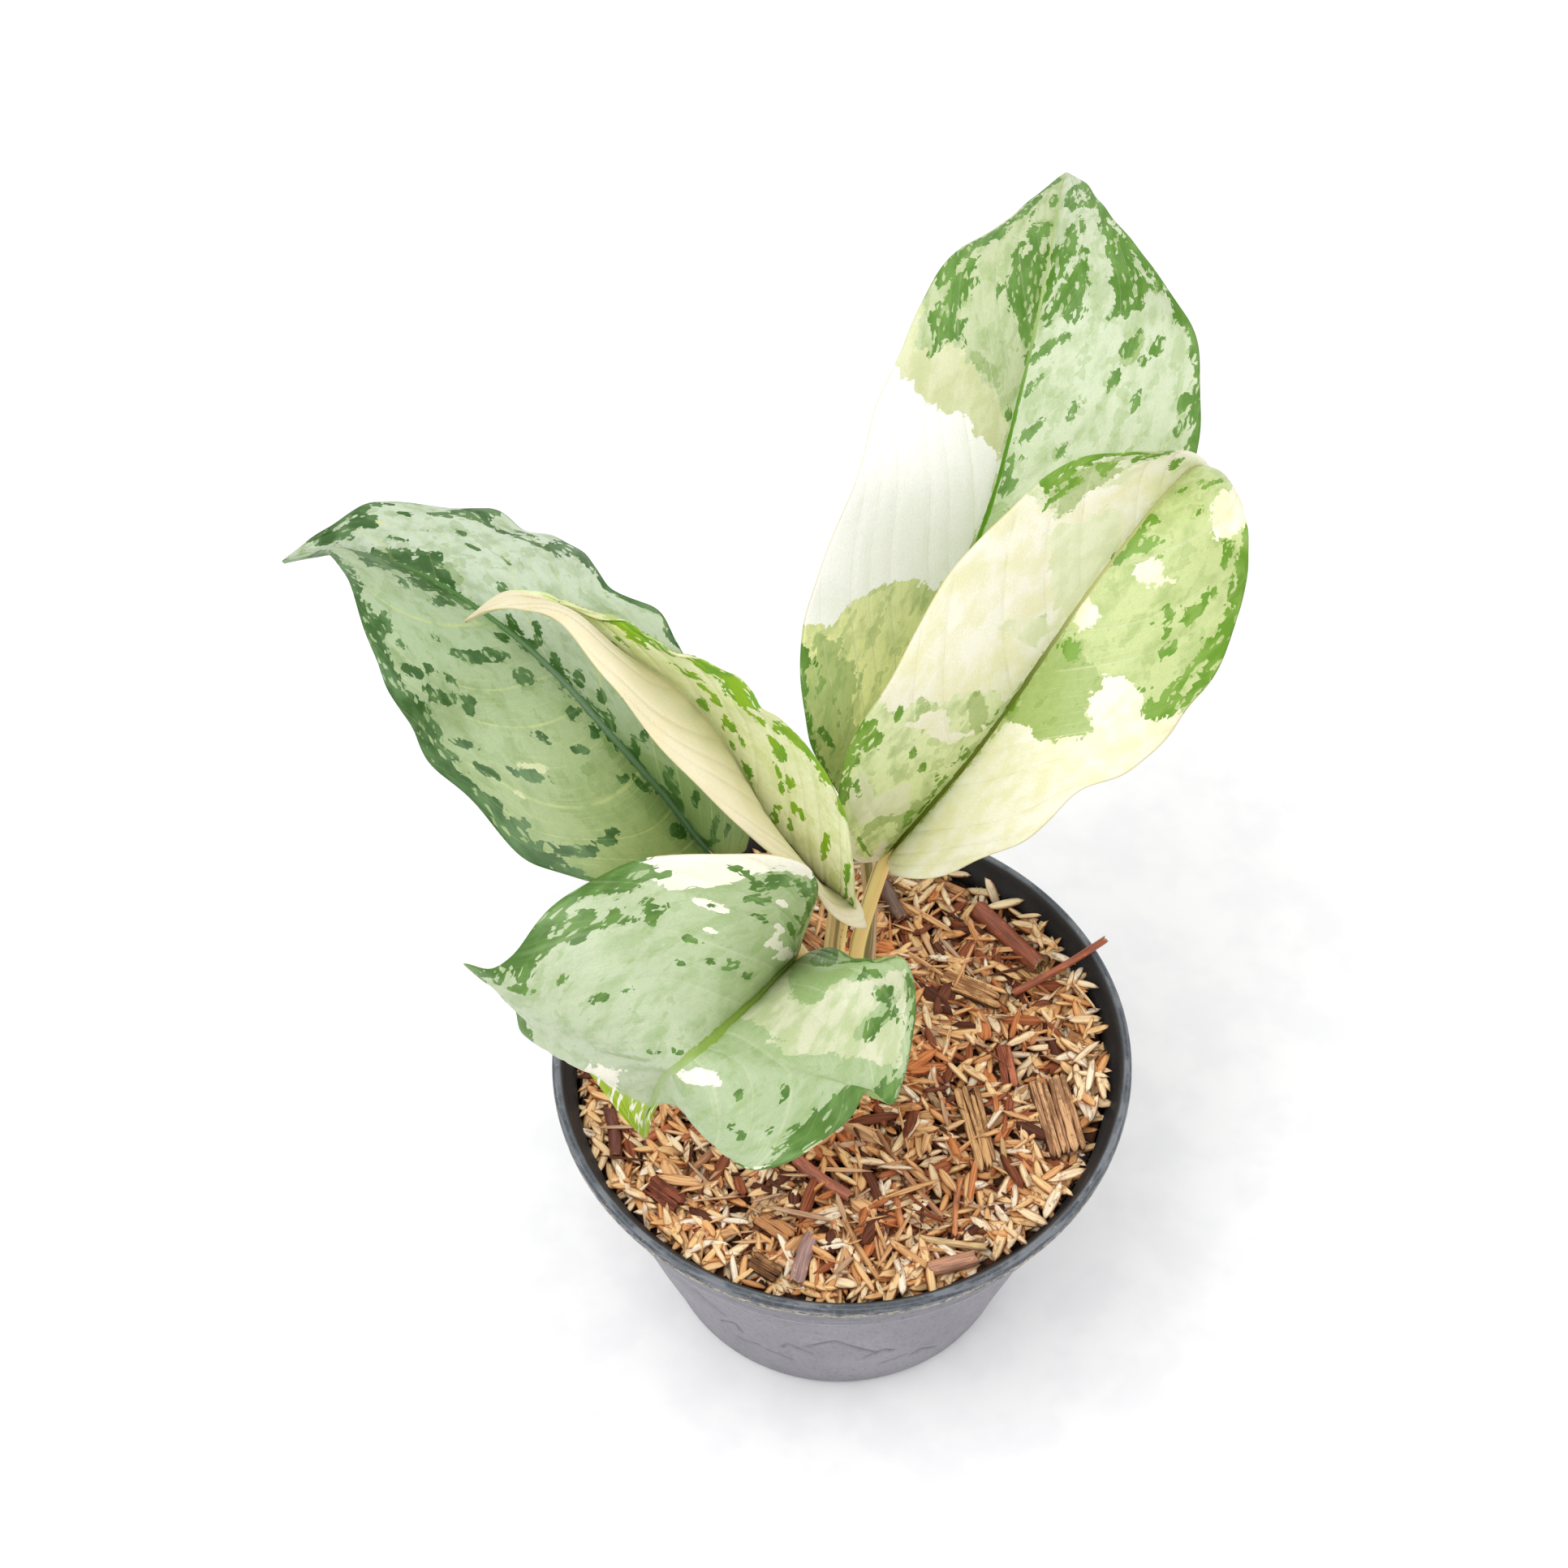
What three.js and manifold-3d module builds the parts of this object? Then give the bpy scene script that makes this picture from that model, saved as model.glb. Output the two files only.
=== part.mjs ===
// Potted variegated chinese evergreen: five waved leaves on sheathed stalks, a short stem
// in a bark and husk potting mix, and a thin round nursery pot.
// Millimetres, +Z up, origin at the middle of the pot's underside.

import * as THREE from 'three';
import { mergeVertices } from 'three/addons/utils/BufferGeometryUtils.js';
import Module from 'manifold-3d';

const wasm = await Module();
wasm.setup();

// Driving dimensions of the pot
const POT_HEIGHT = 94;
const RIM_RADIUS = 75;
const BASE_RADIUS = 48.3;
const COLLAR_RADIUS = 70.3;
const COLLAR_BOTTOM = 78;
const BODY_TOP_RADIUS = 67.6;
const WALL = 1.4;
const FLOOR = 2;
const DRAIN_HOLES = 8;
const DRAIN_RADIUS = 4;
const DRAIN_CIRCLE = 32;
const POT_SIDES = 48;

// Driving dimensions of the potting mix
const MIX_TOP = 85.5;
const MIX_MOUND = 1.8;
const HUSKS = 115;
const HUSK_LENGTH = 15;
const HUSK_WIDTH = 6;
const HUSK_THICKNESS = 2.6;

// Driving dimensions of the plant
const STEM_X = 1;
const STEM_Y = 6;
const STEM_RADIUS = 5.6;
const STEM_BOTTOM = 62;
const STEM_TOP = 106;
const STALK_RADIUS = 2.1;
const SHEATH_WIDTH = 3.5;
const SHEATH_DEPTH = 2.7;
const SHEATH_SHARE = 0.5;
const STALK_STEPS = 12;
const SHEATH_STEPS = 6;
const BLADE_THICKNESS = 0.8;
const BLADE_ROWS = 26;
const BLADE_COLUMNS = 5;
const RIB_DEPTH = 1.3;
const BASE_HALF_WIDTH = 1.6;
const TIP_HALF_WIDTH = 0.5;

const GAP = 0.3;

const material = (name, color, roughness) =>
  new THREE.MeshStandardMaterial({ name, color, roughness, metalness: 0 });

const potPlastic = material('pot plastic', 0x6d6f78, 0.55);
const mixMaterial = material('potting mix', 0xb98d5a, 0.9);
const twigMaterial = material('twigs', 0x7a3f2c, 0.85);
const barkMaterial = material('bark', 0x9a6f48, 0.9);
const stemMaterial = material('stem', 0x8d9a62, 0.6);
const stalkMaterial = material('leaf stalks', 0xcfc59a, 0.5);
const leafMaterial = material('leaf blades', 0x9dbf7e, 0.45);

// Seeded random numbers from 0 to 1, the same on every run
function randomFrom(seed) {
  let state = seed;
  return () => {
    state = (state + 0x6d2b79f5) | 0;
    let mixed = Math.imul(state ^ (state >>> 15), 1 | state);
    mixed = (mixed + Math.imul(mixed ^ (mixed >>> 7), 61 | mixed)) ^ mixed;
    return ((mixed ^ (mixed >>> 14)) >>> 0) / 4294967296;
  };
}

// A closed geometry as a solid that can be joined and cut
function toSolid(geometry) {
  const bare = geometry.index ? geometry.clone() : mergeVertices(stripped(geometry));
  const merged = mergeVertices(stripped(bare), 1e-5);
  return new wasm.Manifold(new wasm.Mesh({
    numProp: 3,
    vertProperties: new Float32Array(merged.attributes.position.array),
    triVerts: new Uint32Array(merged.index.array),
  }));
}

function stripped(geometry) {
  const copy = geometry.clone();
  copy.deleteAttribute('normal');
  copy.deleteAttribute('uv');
  return copy;
}

// The largest single body of a solid, as a geometry: loose scraps of a cut are dropped
function toGeometry(solid) {
  const bodies = solid.decompose();
  bodies.sort((a, b) => b.volume() - a.volume());
  const mesh = bodies[0].getMesh();
  const geometry = new THREE.BufferGeometry();
  geometry.setAttribute('position', new THREE.BufferAttribute(mesh.vertProperties, 3));
  geometry.setIndex(new THREE.BufferAttribute(mesh.triVerts, 1));
  geometry.computeVertexNormals();
  return geometry;
}

// A closed profile of [radius, height] pairs turned about the pot's upright axis
function turned(profile, sides) {
  const points = profile.map(([radius, height]) => new THREE.Vector2(radius, height));
  return new THREE.LatheGeometry(points, sides).rotateX(Math.PI / 2);
}

// Inside and outside radius of the pot's tapered body at a height
const bodyRadius = (height) =>
  THREE.MathUtils.mapLinear(height, 0, COLLAR_BOTTOM, BASE_RADIUS, BODY_TOP_RADIUS);
const innerRadius = (height) => bodyRadius(height) - WALL;

// Pot: a thin tapered wall with a stepped collar, a rolled rim and a floor with drain holes
function potGeometry() {
  const lipBottom = POT_HEIGHT - 5;
  const wall = turned([
    [0, 0], [BASE_RADIUS - 1, 0], [BASE_RADIUS, 1],
    [bodyRadius(30), 30], [bodyRadius(COLLAR_BOTTOM - 1), COLLAR_BOTTOM - 1],
    [COLLAR_RADIUS - 0.6, COLLAR_BOTTOM + 0.4], [COLLAR_RADIUS, lipBottom - 0.6],
    [RIM_RADIUS - 1, lipBottom], [RIM_RADIUS, lipBottom + 1.5], [RIM_RADIUS, POT_HEIGHT - 1.4],
    [RIM_RADIUS - 0.8, POT_HEIGHT - 0.3], [RIM_RADIUS - 1.8, POT_HEIGHT],
    [RIM_RADIUS - 2.8, POT_HEIGHT - 0.6], [COLLAR_RADIUS + 1, POT_HEIGHT - 3.5],
    [COLLAR_RADIUS - WALL, lipBottom - 2], [COLLAR_RADIUS - WALL - 0.6, COLLAR_BOTTOM + 1],
    [innerRadius(COLLAR_BOTTOM - 2), COLLAR_BOTTOM - 2], [innerRadius(FLOOR + 1.5), FLOOR + 1.5],
    [innerRadius(FLOOR) - 1.5, FLOOR], [0, FLOOR],
  ], POT_SIDES);
  let solid = toSolid(wall);
  for (let hole = 0; hole < DRAIN_HOLES; hole += 1) {
    const angle = ((hole + 0.5) / DRAIN_HOLES) * Math.PI * 2;
    const drill = new THREE.CylinderGeometry(DRAIN_RADIUS, DRAIN_RADIUS, FLOOR * 4, 12)
      .rotateX(Math.PI / 2)
      .translate(Math.cos(angle) * DRAIN_CIRCLE, Math.sin(angle) * DRAIN_CIRCLE, 0);
    solid = solid.subtract(toSolid(drill));
  }
  return toGeometry(solid);
}

// Height of the potting mix: a low mound at the stem with soft hollows round it
function mixHeight(x, y) {
  const radius = Math.hypot(x, y);
  const mound = MIX_MOUND * Math.exp(-((radius / 30) ** 2));
  const hollows = 0.7 * Math.sin(x * 0.11 + 1) * Math.cos(y * 0.13) + 0.4 * Math.sin(x * 0.23 - y * 0.19);
  return MIX_TOP + mound + hollows;
}

// The body of the mix under its loose husks, as rings of points closed by a flat underside
function mixBody() {
  const rings = 6;
  const sides = 30;
  const reach = COLLAR_RADIUS;
  const positions = [0, 0, mixHeight(0, 0)];
  for (let ring = 1; ring <= rings; ring += 1) {
    for (let side = 0; side < sides; side += 1) {
      const angle = ((side + (ring % 2) * 0.5) / sides) * Math.PI * 2;
      const x = (Math.cos(angle) * reach * ring) / rings;
      const y = (Math.sin(angle) * reach * ring) / rings;
      positions.push(x, y, mixHeight(x, y));
    }
  }
  const under = positions.length / 3;
  for (let side = 0; side < sides; side += 1) {
    const angle = ((side + (rings % 2) * 0.5) / sides) * Math.PI * 2;
    positions.push(Math.cos(angle) * reach, Math.sin(angle) * reach, 0);
  }
  positions.push(0, 0, 0);
  const indices = [];
  const at = (ring, side) => 1 + (ring - 1) * sides + ((side + sides) % sides);
  for (let side = 0; side < sides; side += 1) {
    indices.push(0, at(1, side), at(1, side + 1));
    for (let ring = 1; ring < rings; ring += 1) {
      const inner = [at(ring, side), at(ring, side + 1)];
      const shift = ring % 2;
      const outer = [at(ring + 1, side + shift), at(ring + 1, side + shift + 1)];
      indices.push(inner[0], outer[0], inner[1], inner[1], outer[0], outer[1]);
    }
    const top = [at(rings, side), at(rings, side + 1)];
    const low = [under + side, under + ((side + 1) % sides)];
    indices.push(top[0], low[0], top[1], top[1], low[0], low[1]);
    indices.push(low[0], under + sides, low[1]);
  }
  const geometry = new THREE.BufferGeometry();
  geometry.setAttribute('position', new THREE.Float32BufferAttribute(positions, 3));
  geometry.setIndex(indices);
  return geometry;
}

// Everything that fits inside the pot's wall with a clear gap
function potInside() {
  return turned([
    [0, FLOOR + GAP], [innerRadius(FLOOR) - 1.8 - GAP, FLOOR + GAP],
    [innerRadius(FLOOR + 1.5) - GAP, FLOOR + 1.7],
    [innerRadius(COLLAR_BOTTOM - 2) - GAP, COLLAR_BOTTOM - 2],
    [COLLAR_RADIUS - WALL - 0.6 - GAP, COLLAR_BOTTOM + 1.3],
    [COLLAR_RADIUS - WALL - GAP, POT_HEIGHT - 7], [COLLAR_RADIUS - WALL - GAP, POT_HEIGHT],
    [0, POT_HEIGHT],
  ], POT_SIDES);
}

// One husk: a pointed boat turned keel up, with two ends, two sides and a ridge between the ends
function huskGeometry(length, width, thickness) {
  const husk = new THREE.BufferGeometry();
  husk.setAttribute('position', new THREE.Float32BufferAttribute([
    -length / 2, 0, thickness / 2, length / 2, 0, thickness / 2,
    0, -width / 2, -thickness / 2, 0, width / 2, -thickness / 2,
  ], 3));
  husk.setIndex([0, 2, 1, 0, 1, 3, 0, 3, 2, 1, 2, 3]);
  return husk;
}

// Husks spread evenly over the mix, each turned and tipped by a seeded draw
function husks() {
  const random = randomFrom(11);
  const golden = Math.PI * (3 - Math.sqrt(5));
  const reach = COLLAR_RADIUS - WALL - 3;
  return Array.from({ length: HUSKS }, (_, count) => {
    const radius = reach * Math.sqrt((count + 0.5) / HUSKS);
    const angle = count * golden + random() * 0.25;
    const x = Math.cos(angle) * radius;
    const y = Math.sin(angle) * radius;
    const size = 0.8 + random() * 0.4;
    return huskGeometry(HUSK_LENGTH * size, HUSK_WIDTH, HUSK_THICKNESS)
      .rotateX((random() - 0.5) * 0.5)
      .rotateY((random() - 0.5) * 0.35)
      .rotateZ(random() * Math.PI)
      .translate(x, y, mixHeight(x, y) + random() * 0.6);
  });
}

// Sticks and bark lying on the mix: ends as [x, y] on the ground, across and deep as sizes
const LITTER = [
  { name: 'twig_hollow_red', from: [37, 49], to: [53, 30], across: 5.2, deep: 5.2, lift: 2.4 },
  { name: 'twig_over_rim', from: [45.5, 21.5], to: [70, 33], across: 1.8, deep: 1.8, lift: 2.2, rise: 9.1 },
  { name: 'twig_dark_knob', from: [12, 57], to: [17, 45], across: 4, deep: 4, lift: 1.8 },
  { name: 'bark_back_strip', from: [24, 58], to: [35, 53], across: 4.5, deep: 1.8, lift: 1.6, bark: true },
  { name: 'bark_pale_slab', from: [26, 27], to: [43, 19], across: 6, deep: 2.4, lift: 1.6, bark: true },
  { name: 'bark_fibre_chunk', from: [53, -4], to: [58, -28], across: 10, deep: 4, lift: 1.9, bark: true },
  { name: 'bark_rim_chip', from: [59, 9], to: [66, 4], across: 3.4, deep: 2.4, lift: 1.8, bark: true },
  { name: 'bark_right_chunk', from: [32, -7], to: [37, -32], across: 6, deep: 3, lift: 1.8, bark: true },
  { name: 'bark_red_chip', from: [42, 6], to: [44, -7], across: 4, deep: 2, lift: 1.6, bark: true },
  { name: 'twig_red_front', from: [-12, -29], to: [2, -40], across: 3.6, deep: 3.6, lift: 1.8 },
  { name: 'twig_thin_long', from: [9, -20], to: [25, -45], across: 1.6, deep: 1.6, lift: 1.4 },
  { name: 'twig_orange_short', from: [13, -36], to: [15, -50], across: 2, deep: 2, lift: 1.4 },
  { name: 'twig_thin_right', from: [30, -34], to: [28, -50], across: 1.8, deep: 1.8, lift: 1.4 },
  { name: 'twig_purple_front', from: [-8, -51], to: [-12, -64], across: 4.2, deep: 4.2, lift: 2 },
  { name: 'twig_slant_front', from: [0, -46], to: [9, -63], across: 1.8, deep: 1.8, lift: 1.4 },
  { name: 'twig_pale_slant', from: [18, -51], to: [36, -53], across: 2, deep: 2, lift: 1.4 },
  { name: 'twig_hollow_log', from: [21, -60], to: [33, -56.5], across: 4.2, deep: 4.2, lift: 2 },
  { name: 'bark_front_flake', from: [-24, -56], to: [-16, -62], across: 5, deep: 2, lift: 1.6, bark: true },
  { name: 'bark_left_flake', from: [-50, -35], to: [-41, -42], across: 6, deep: 2, lift: 1.6, bark: true },
  { name: 'twig_left_dark', from: [-58, -27], to: [-60, -14], across: 3.4, deep: 3.4, lift: 1.8 },
  { name: 'twig_orange_left', from: [-50, -22], to: [-42, -17], across: 2.4, deep: 2.4, lift: 1.6 },
  { name: 'twig_left_slant', from: [-38, -31], to: [-30, -22], across: 2.2, deep: 2.2, lift: 1.5 },
  { name: 'bark_centre_flake', from: [-22, -44], to: [-13, -51], across: 5, deep: 2, lift: 1.6, bark: true },
  { name: 'bark_back_chip', from: [-13, 42], to: [-3, 33], across: 6, deep: 2.4, lift: 1.6, bark: true },
  { name: 'bark_rear_slab', from: [-44, 38], to: [-30, 50], across: 7, deep: 2.6, lift: 1.7, bark: true },
  { name: 'twig_rear_red', from: [-52, 12], to: [-38, 24], across: 3, deep: 3, lift: 1.7 },
];

// One stick (a tapered rod) or one bark piece (an irregular slab), grown all round by a margin
function litterGeometry({ from, to, across, deep, lift, rise = 0, bark = false }, margin = 0) {
  const start = new THREE.Vector3(...from, mixHeight(...from) + lift);
  const end = new THREE.Vector3(...to, mixHeight(...to) + lift + rise);
  const length = start.distanceTo(end);
  const shape = bark ? barkSlab() : new THREE.CylinderGeometry(0.5, 0.44, 1, 9, 2);
  shape.scale(across + 2 * margin, length + 2 * margin, deep + 2 * margin);
  const along = end.clone().sub(start).normalize();
  const side = new THREE.Vector3().crossVectors(along, new THREE.Vector3(0, 0, 1)).normalize();
  const up = new THREE.Vector3().crossVectors(side, along);
  const frame = new THREE.Matrix4().makeBasis(side, along, up);
  frame.setPosition(start.add(end).multiplyScalar(0.5));
  return shape.applyMatrix4(frame);
}

// A slab of bark one unit long, wide and deep, with broken ends and chamfered edges
function barkSlab() {
  const outline = new THREE.Shape([
    [-0.34, -0.5], [-0.08, -0.43], [0.2, -0.5], [0.45, -0.4], [0.5, 0.1], [0.42, 0.44],
    [0.16, 0.38], [-0.04, 0.5], [-0.38, 0.42], [-0.5, 0.05], [-0.46, -0.36],
  ].map(([x, y]) => new THREE.Vector2(x, y)));
  return new THREE.ExtrudeGeometry(outline, { depth: 1, bevelEnabled: false }).translate(0, 0, -0.5);
}

// Potting mix: body and husks fused, cut to the pot, with a plain hole for the stem and a bed
// under each stick and bark piece
function mixGeometry() {
  let solid = toSolid(mixBody());
  for (const husk of husks()) {
    solid = solid.add(toSolid(husk));
  }
  solid = solid.intersect(toSolid(potInside()));
  const holeRadius = STEM_RADIUS + GAP;
  const hole = new THREE.CylinderGeometry(holeRadius, holeRadius, POT_HEIGHT, 20)
    .rotateX(Math.PI / 2)
    .translate(STEM_X, STEM_Y, STEM_BOTTOM - GAP + POT_HEIGHT / 2);
  solid = solid.subtract(toSolid(hole));
  for (const piece of LITTER) {
    solid = solid.subtract(toSolid(litterGeometry(piece, GAP)));
  }
  return toGeometry(solid);
}

// Stem: a short ringed cane that narrows to the crown
function stemGeometry(margin = 0) {
  const rings = [72, 86, 92, 98];
  const profile = [[0, STEM_BOTTOM - margin], [STEM_RADIUS - 1.2 + margin, STEM_BOTTOM - margin]];
  for (const height of rings) {
    const radius = STEM_RADIUS - 0.5 - 0.02 * (height - STEM_BOTTOM) + margin;
    profile.push([radius - 0.1, height - 1.6], [radius + 0.4, height], [radius - 0.1, height + 0.8]);
  }
  profile.push([STEM_RADIUS - 1.6 + margin, STEM_TOP - 2], [2.6 + margin, STEM_TOP + margin]);
  profile.push([0, STEM_TOP + margin]);
  return turned(profile, 14).translate(STEM_X, STEM_Y, 0);
}

// A tube of an oval section along a curve
function tube(points, width, depth, steps) {
  const section = new THREE.Shape().absellipse(0, 0, depth, width, 0, Math.PI * 2, false, 0);
  const path = new THREE.CatmullRomCurve3(points);
  return new THREE.ExtrudeGeometry(section, {
    steps, extrudePath: path, bevelEnabled: false, curveSegments: 4,
  });
}

// Leaf stalk: a round stalk whose lower part is wrapped in a wider sheath
function stalkSolid(route, margin = 0) {
  const points = route.map((point) => new THREE.Vector3(...point));
  const path = new THREE.CatmullRomCurve3(points);
  const lower = Array.from({ length: 5 }, (_, step) => path.getPoint((step / 4) * SHEATH_SHARE));
  const stalk = tube(points, STALK_RADIUS + margin, STALK_RADIUS + margin, STALK_STEPS);
  const sheath = tube(lower, SHEATH_WIDTH + margin, SHEATH_DEPTH + margin, SHEATH_STEPS);
  return toSolid(stalk).add(toSolid(sheath));
}

// Stalk routes from the stem to the leaf bases, youngest and innermost first
const STALKS = [
  ['stalk_b', [[0, 6, 103], [-2, 7, 114], [-3, 10, 127], [-2.2, 14.3, 138.6]]],
  ['stalk_c', [[3, 9, 96], [4.5, 12.5, 108], [7, 22, 126], [5, 35, 146.2]]],
  ['stalk_d', [[4, 5, 95], [5, 6.5, 107], [5, 13, 123], [9.8, 25.3, 140.4]]],
  ['stalk_a', [[-3, 9, 94], [-6.5, 12, 106], [-18, 22, 122], [-29.6, 30.8, 133.2]]],
  ['stalk_e', [[-2, 1.5, 93], [-5, -1.5, 106], [-10, -1.5, 122], [-11, 0, 135.9]]],
];

// Each stalk is cut back to a clear seat at the stem, at the stalks inside it and at its blade
function stalkMeshes() {
  const grownStem = toSolid(stemGeometry(GAP));
  return STALKS.map(([name, route], index) => {
    let solid = stalkSolid(route).subtract(grownStem);
    for (const [, inner] of STALKS.slice(0, index)) {
      solid = solid.subtract(stalkSolid(inner, GAP));
    }
    solid = solid.subtract(toSolid(bladeGeometry(LEAVES[name.replace('stalk', 'leaf')], GAP)));
    return named(name, toGeometry(solid), stalkMaterial);
  });
}

// Leaf blades. Each row is a station from the leaf's base to its tip: the midrib, the left
// margin and the right margin, seen from the base with the upper side up. The first and
// last rows give the midrib alone, and the blade runs out to a narrow end there.
// Arch is how far each half bulges above the straight line from midrib to margin, as a
// share of its width, left then right.
const LEAVES = {
  leaf_a: {
    arch: [0.1, 0.1],
    stations: [
      [[-30, 31, 134]],
      [[-36, 32, 142], [-45, 16, 146], [-24, 23, 154]],
      [[-45, 38, 154], [-61, 11, 154], [-23, 24, 171]],
      [[-57, 47, 165], [-80, 20, 155], [-29, 36, 187]],
      [[-70, 60, 172], [-103, 41, 162], [-40, 52, 195]],
      [[-84, 74, 174], [-111, 48, 180], [-56, 68, 198]],
      [[-101, 90, 172], [-119, 65, 186], [-70, 94, 185]],
      [[-116, 103, 167], [-125, 84, 183], [-90, 115, 174]],
      [[-130, 113, 160], [-133, 102, 172], [-119, 124, 168]],
      [[-140, 117, 154], [-140, 111, 160], [-136, 121, 160]],
      [[-149, 120, 148]],
    ],
  },
  leaf_b: {
    arch: [0.22, 0.08],
    stations: [
      [[-2, 15, 140]],
      [[-6, 16, 146], [6, 7, 141], [2, 7, 147]],
      [[-11, 15, 157], [-4, -1, 164], [2, 5, 167]],
      [[-19, 16, 172], [-13, -5, 182], [-1, 10, 187]],
      [[-25, 21, 186], [-25, -2, 195], [-7, 13, 201]],
      [[-32, 27, 197], [-35, 3, 205], [-15, 17, 212]],
      [[-41, 32, 206], [-45, 10, 213], [-24, 22, 219]],
      [[-52, 37, 211], [-55, 20, 223], [-36, 28, 223]],
      [[-64, 45, 212], [-66, 34, 226], [-51, 39, 222]],
      [[-77, 55, 208], [-78, 47, 216], [-68, 53, 215]],
      [[-86, 58, 203], [-86, 54, 207], [-82, 62, 205]],
      [[-93, 60, 196]],
    ],
  },
  leaf_c: {
    arch: [0.07, 0.07],
    stations: [
      [[5, 36, 147]],
      [[8, 41, 153], [-2, 31, 165], [15, 29, 166]],
      [[15, 49, 168], [-9, 31, 187], [36, 36, 187]],
      [[23, 61, 184], [-11, 44, 203], [57, 49, 200]],
      [[30, 73, 200], [-7, 56, 217], [76, 72, 206]],
      [[37, 87, 215], [2, 71, 236], [84, 85, 221]],
      [[42, 102, 228], [7, 88, 243], [86, 98, 233]],
      [[46, 116, 237], [15, 104, 250], [83, 115, 242]],
      [[50, 134, 242], [24, 128, 251], [72, 124, 257]],
      [[53, 151, 242], [37, 146, 245], [64, 143, 253]],
      [[55, 164, 240], [47, 161, 241], [61, 160, 246]],
      [[57, 174, 237]],
    ],
  },
  leaf_d: {
    arch: [0.08, 0.08],
    stations: [
      [[10, 26, 141]],
      [[13, 26, 149], [1, 19, 155], [14, 12, 156]],
      [[20, 25, 165], [-2, 17, 180], [28, 1, 177]],
      [[28, 25, 182], [1, 19, 201], [41, -4, 194]],
      [[37, 28, 199], [11, 24, 222], [56, 0, 208]],
      [[46, 34, 214], [22, 37, 239], [71, 10, 209]],
      [[55, 42, 226], [33, 43, 251], [83, 22, 215]],
      [[64, 51, 234], [45, 51, 259], [91, 37, 227]],
      [[73, 62, 238], [58, 58, 260], [92, 43, 243]],
      [[82, 74, 236], [72, 65, 253], [91, 56, 244]],
      [[89, 84, 223], [83, 81, 232], [90, 75, 230]],
      [[92, 92, 206]],
    ],
  },
  leaf_e: {
    arch: [0.06, 0.06],
    stations: [
      [[-11, 0, 137]],
      [[-13, -3, 140], [-4, -8, 154], [-10, -4, 157]],
      [[-17, -12, 147], [5, -22, 170], [-7, -6, 178]],
      [[-22, -23, 154], [14, -26, 173], [-13, -7, 190]],
      [[-28, -34, 161], [16, -33, 163], [-29, -10, 196]],
      [[-33, -43, 166], [12, -52, 162], [-49, -8, 191]],
      [[-37, -48, 168], [3, -59, 163], [-64, -18, 191]],
      [[-41, -49, 164], [-11, -74, 168], [-77, -28, 182]],
      [[-43, -45, 155], [-24, -74, 162], [-89, -26, 173]],
      [[-45, -42, 144], [-29, -59, 158], [-80, -31, 154]],
      [[-47, -39, 132], [-40, -44, 145], [-67, -29, 140]],
      [[-49, -39, 124], [-46, -39, 131], [-55, -39, 128]],
      [[-49, -40, 118]],
    ],
  },
};

// The three long curves of a blade: midrib, left margin and right margin
function bladeRails(stations) {
  const rows = stations.map((row) => row.map((point) => new THREE.Vector3(...point)));
  const close = (row, near, halfWidth) => {
    const across = near[2].clone().sub(near[1]).normalize().multiplyScalar(halfWidth);
    row[1] = row[0].clone().sub(across);
    row[2] = row[0].clone().add(across);
  };
  close(rows[0], rows[1], BASE_HALF_WIDTH);
  close(rows.at(-1), rows.at(-2), TIP_HALF_WIDTH);
  return [0, 1, 2].map((rail) =>
    new THREE.CatmullRomCurve3(rows.map((row) => row[rail]), false, 'catmullrom'));
}

// Middle surface of a blade, as rows of points from the left margin to the right one
function bladeSurface({ stations, arch }) {
  const rails = bladeRails(stations);
  return Array.from({ length: BLADE_ROWS + 1 }, (_, row) => {
    const along = row / BLADE_ROWS;
    const [rib, left, right] = rails.map((rail) => rail.getPoint(along));
    const upper = right.clone().sub(left).cross(rails[0].getTangent(along)).normalize();
    return Array.from({ length: 2 * BLADE_COLUMNS + 1 }, (__, column) => {
      const across = (column - BLADE_COLUMNS) / BLADE_COLUMNS;
      const margin = across < 0 ? left : right;
      const share = Math.abs(across);
      const bulge = arch[across < 0 ? 0 : 1] * margin.distanceTo(rib) * 4 * share * (1 - share);
      return rib.clone().lerp(margin, share).addScaledVector(upper, bulge);
    });
  });
}

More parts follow.
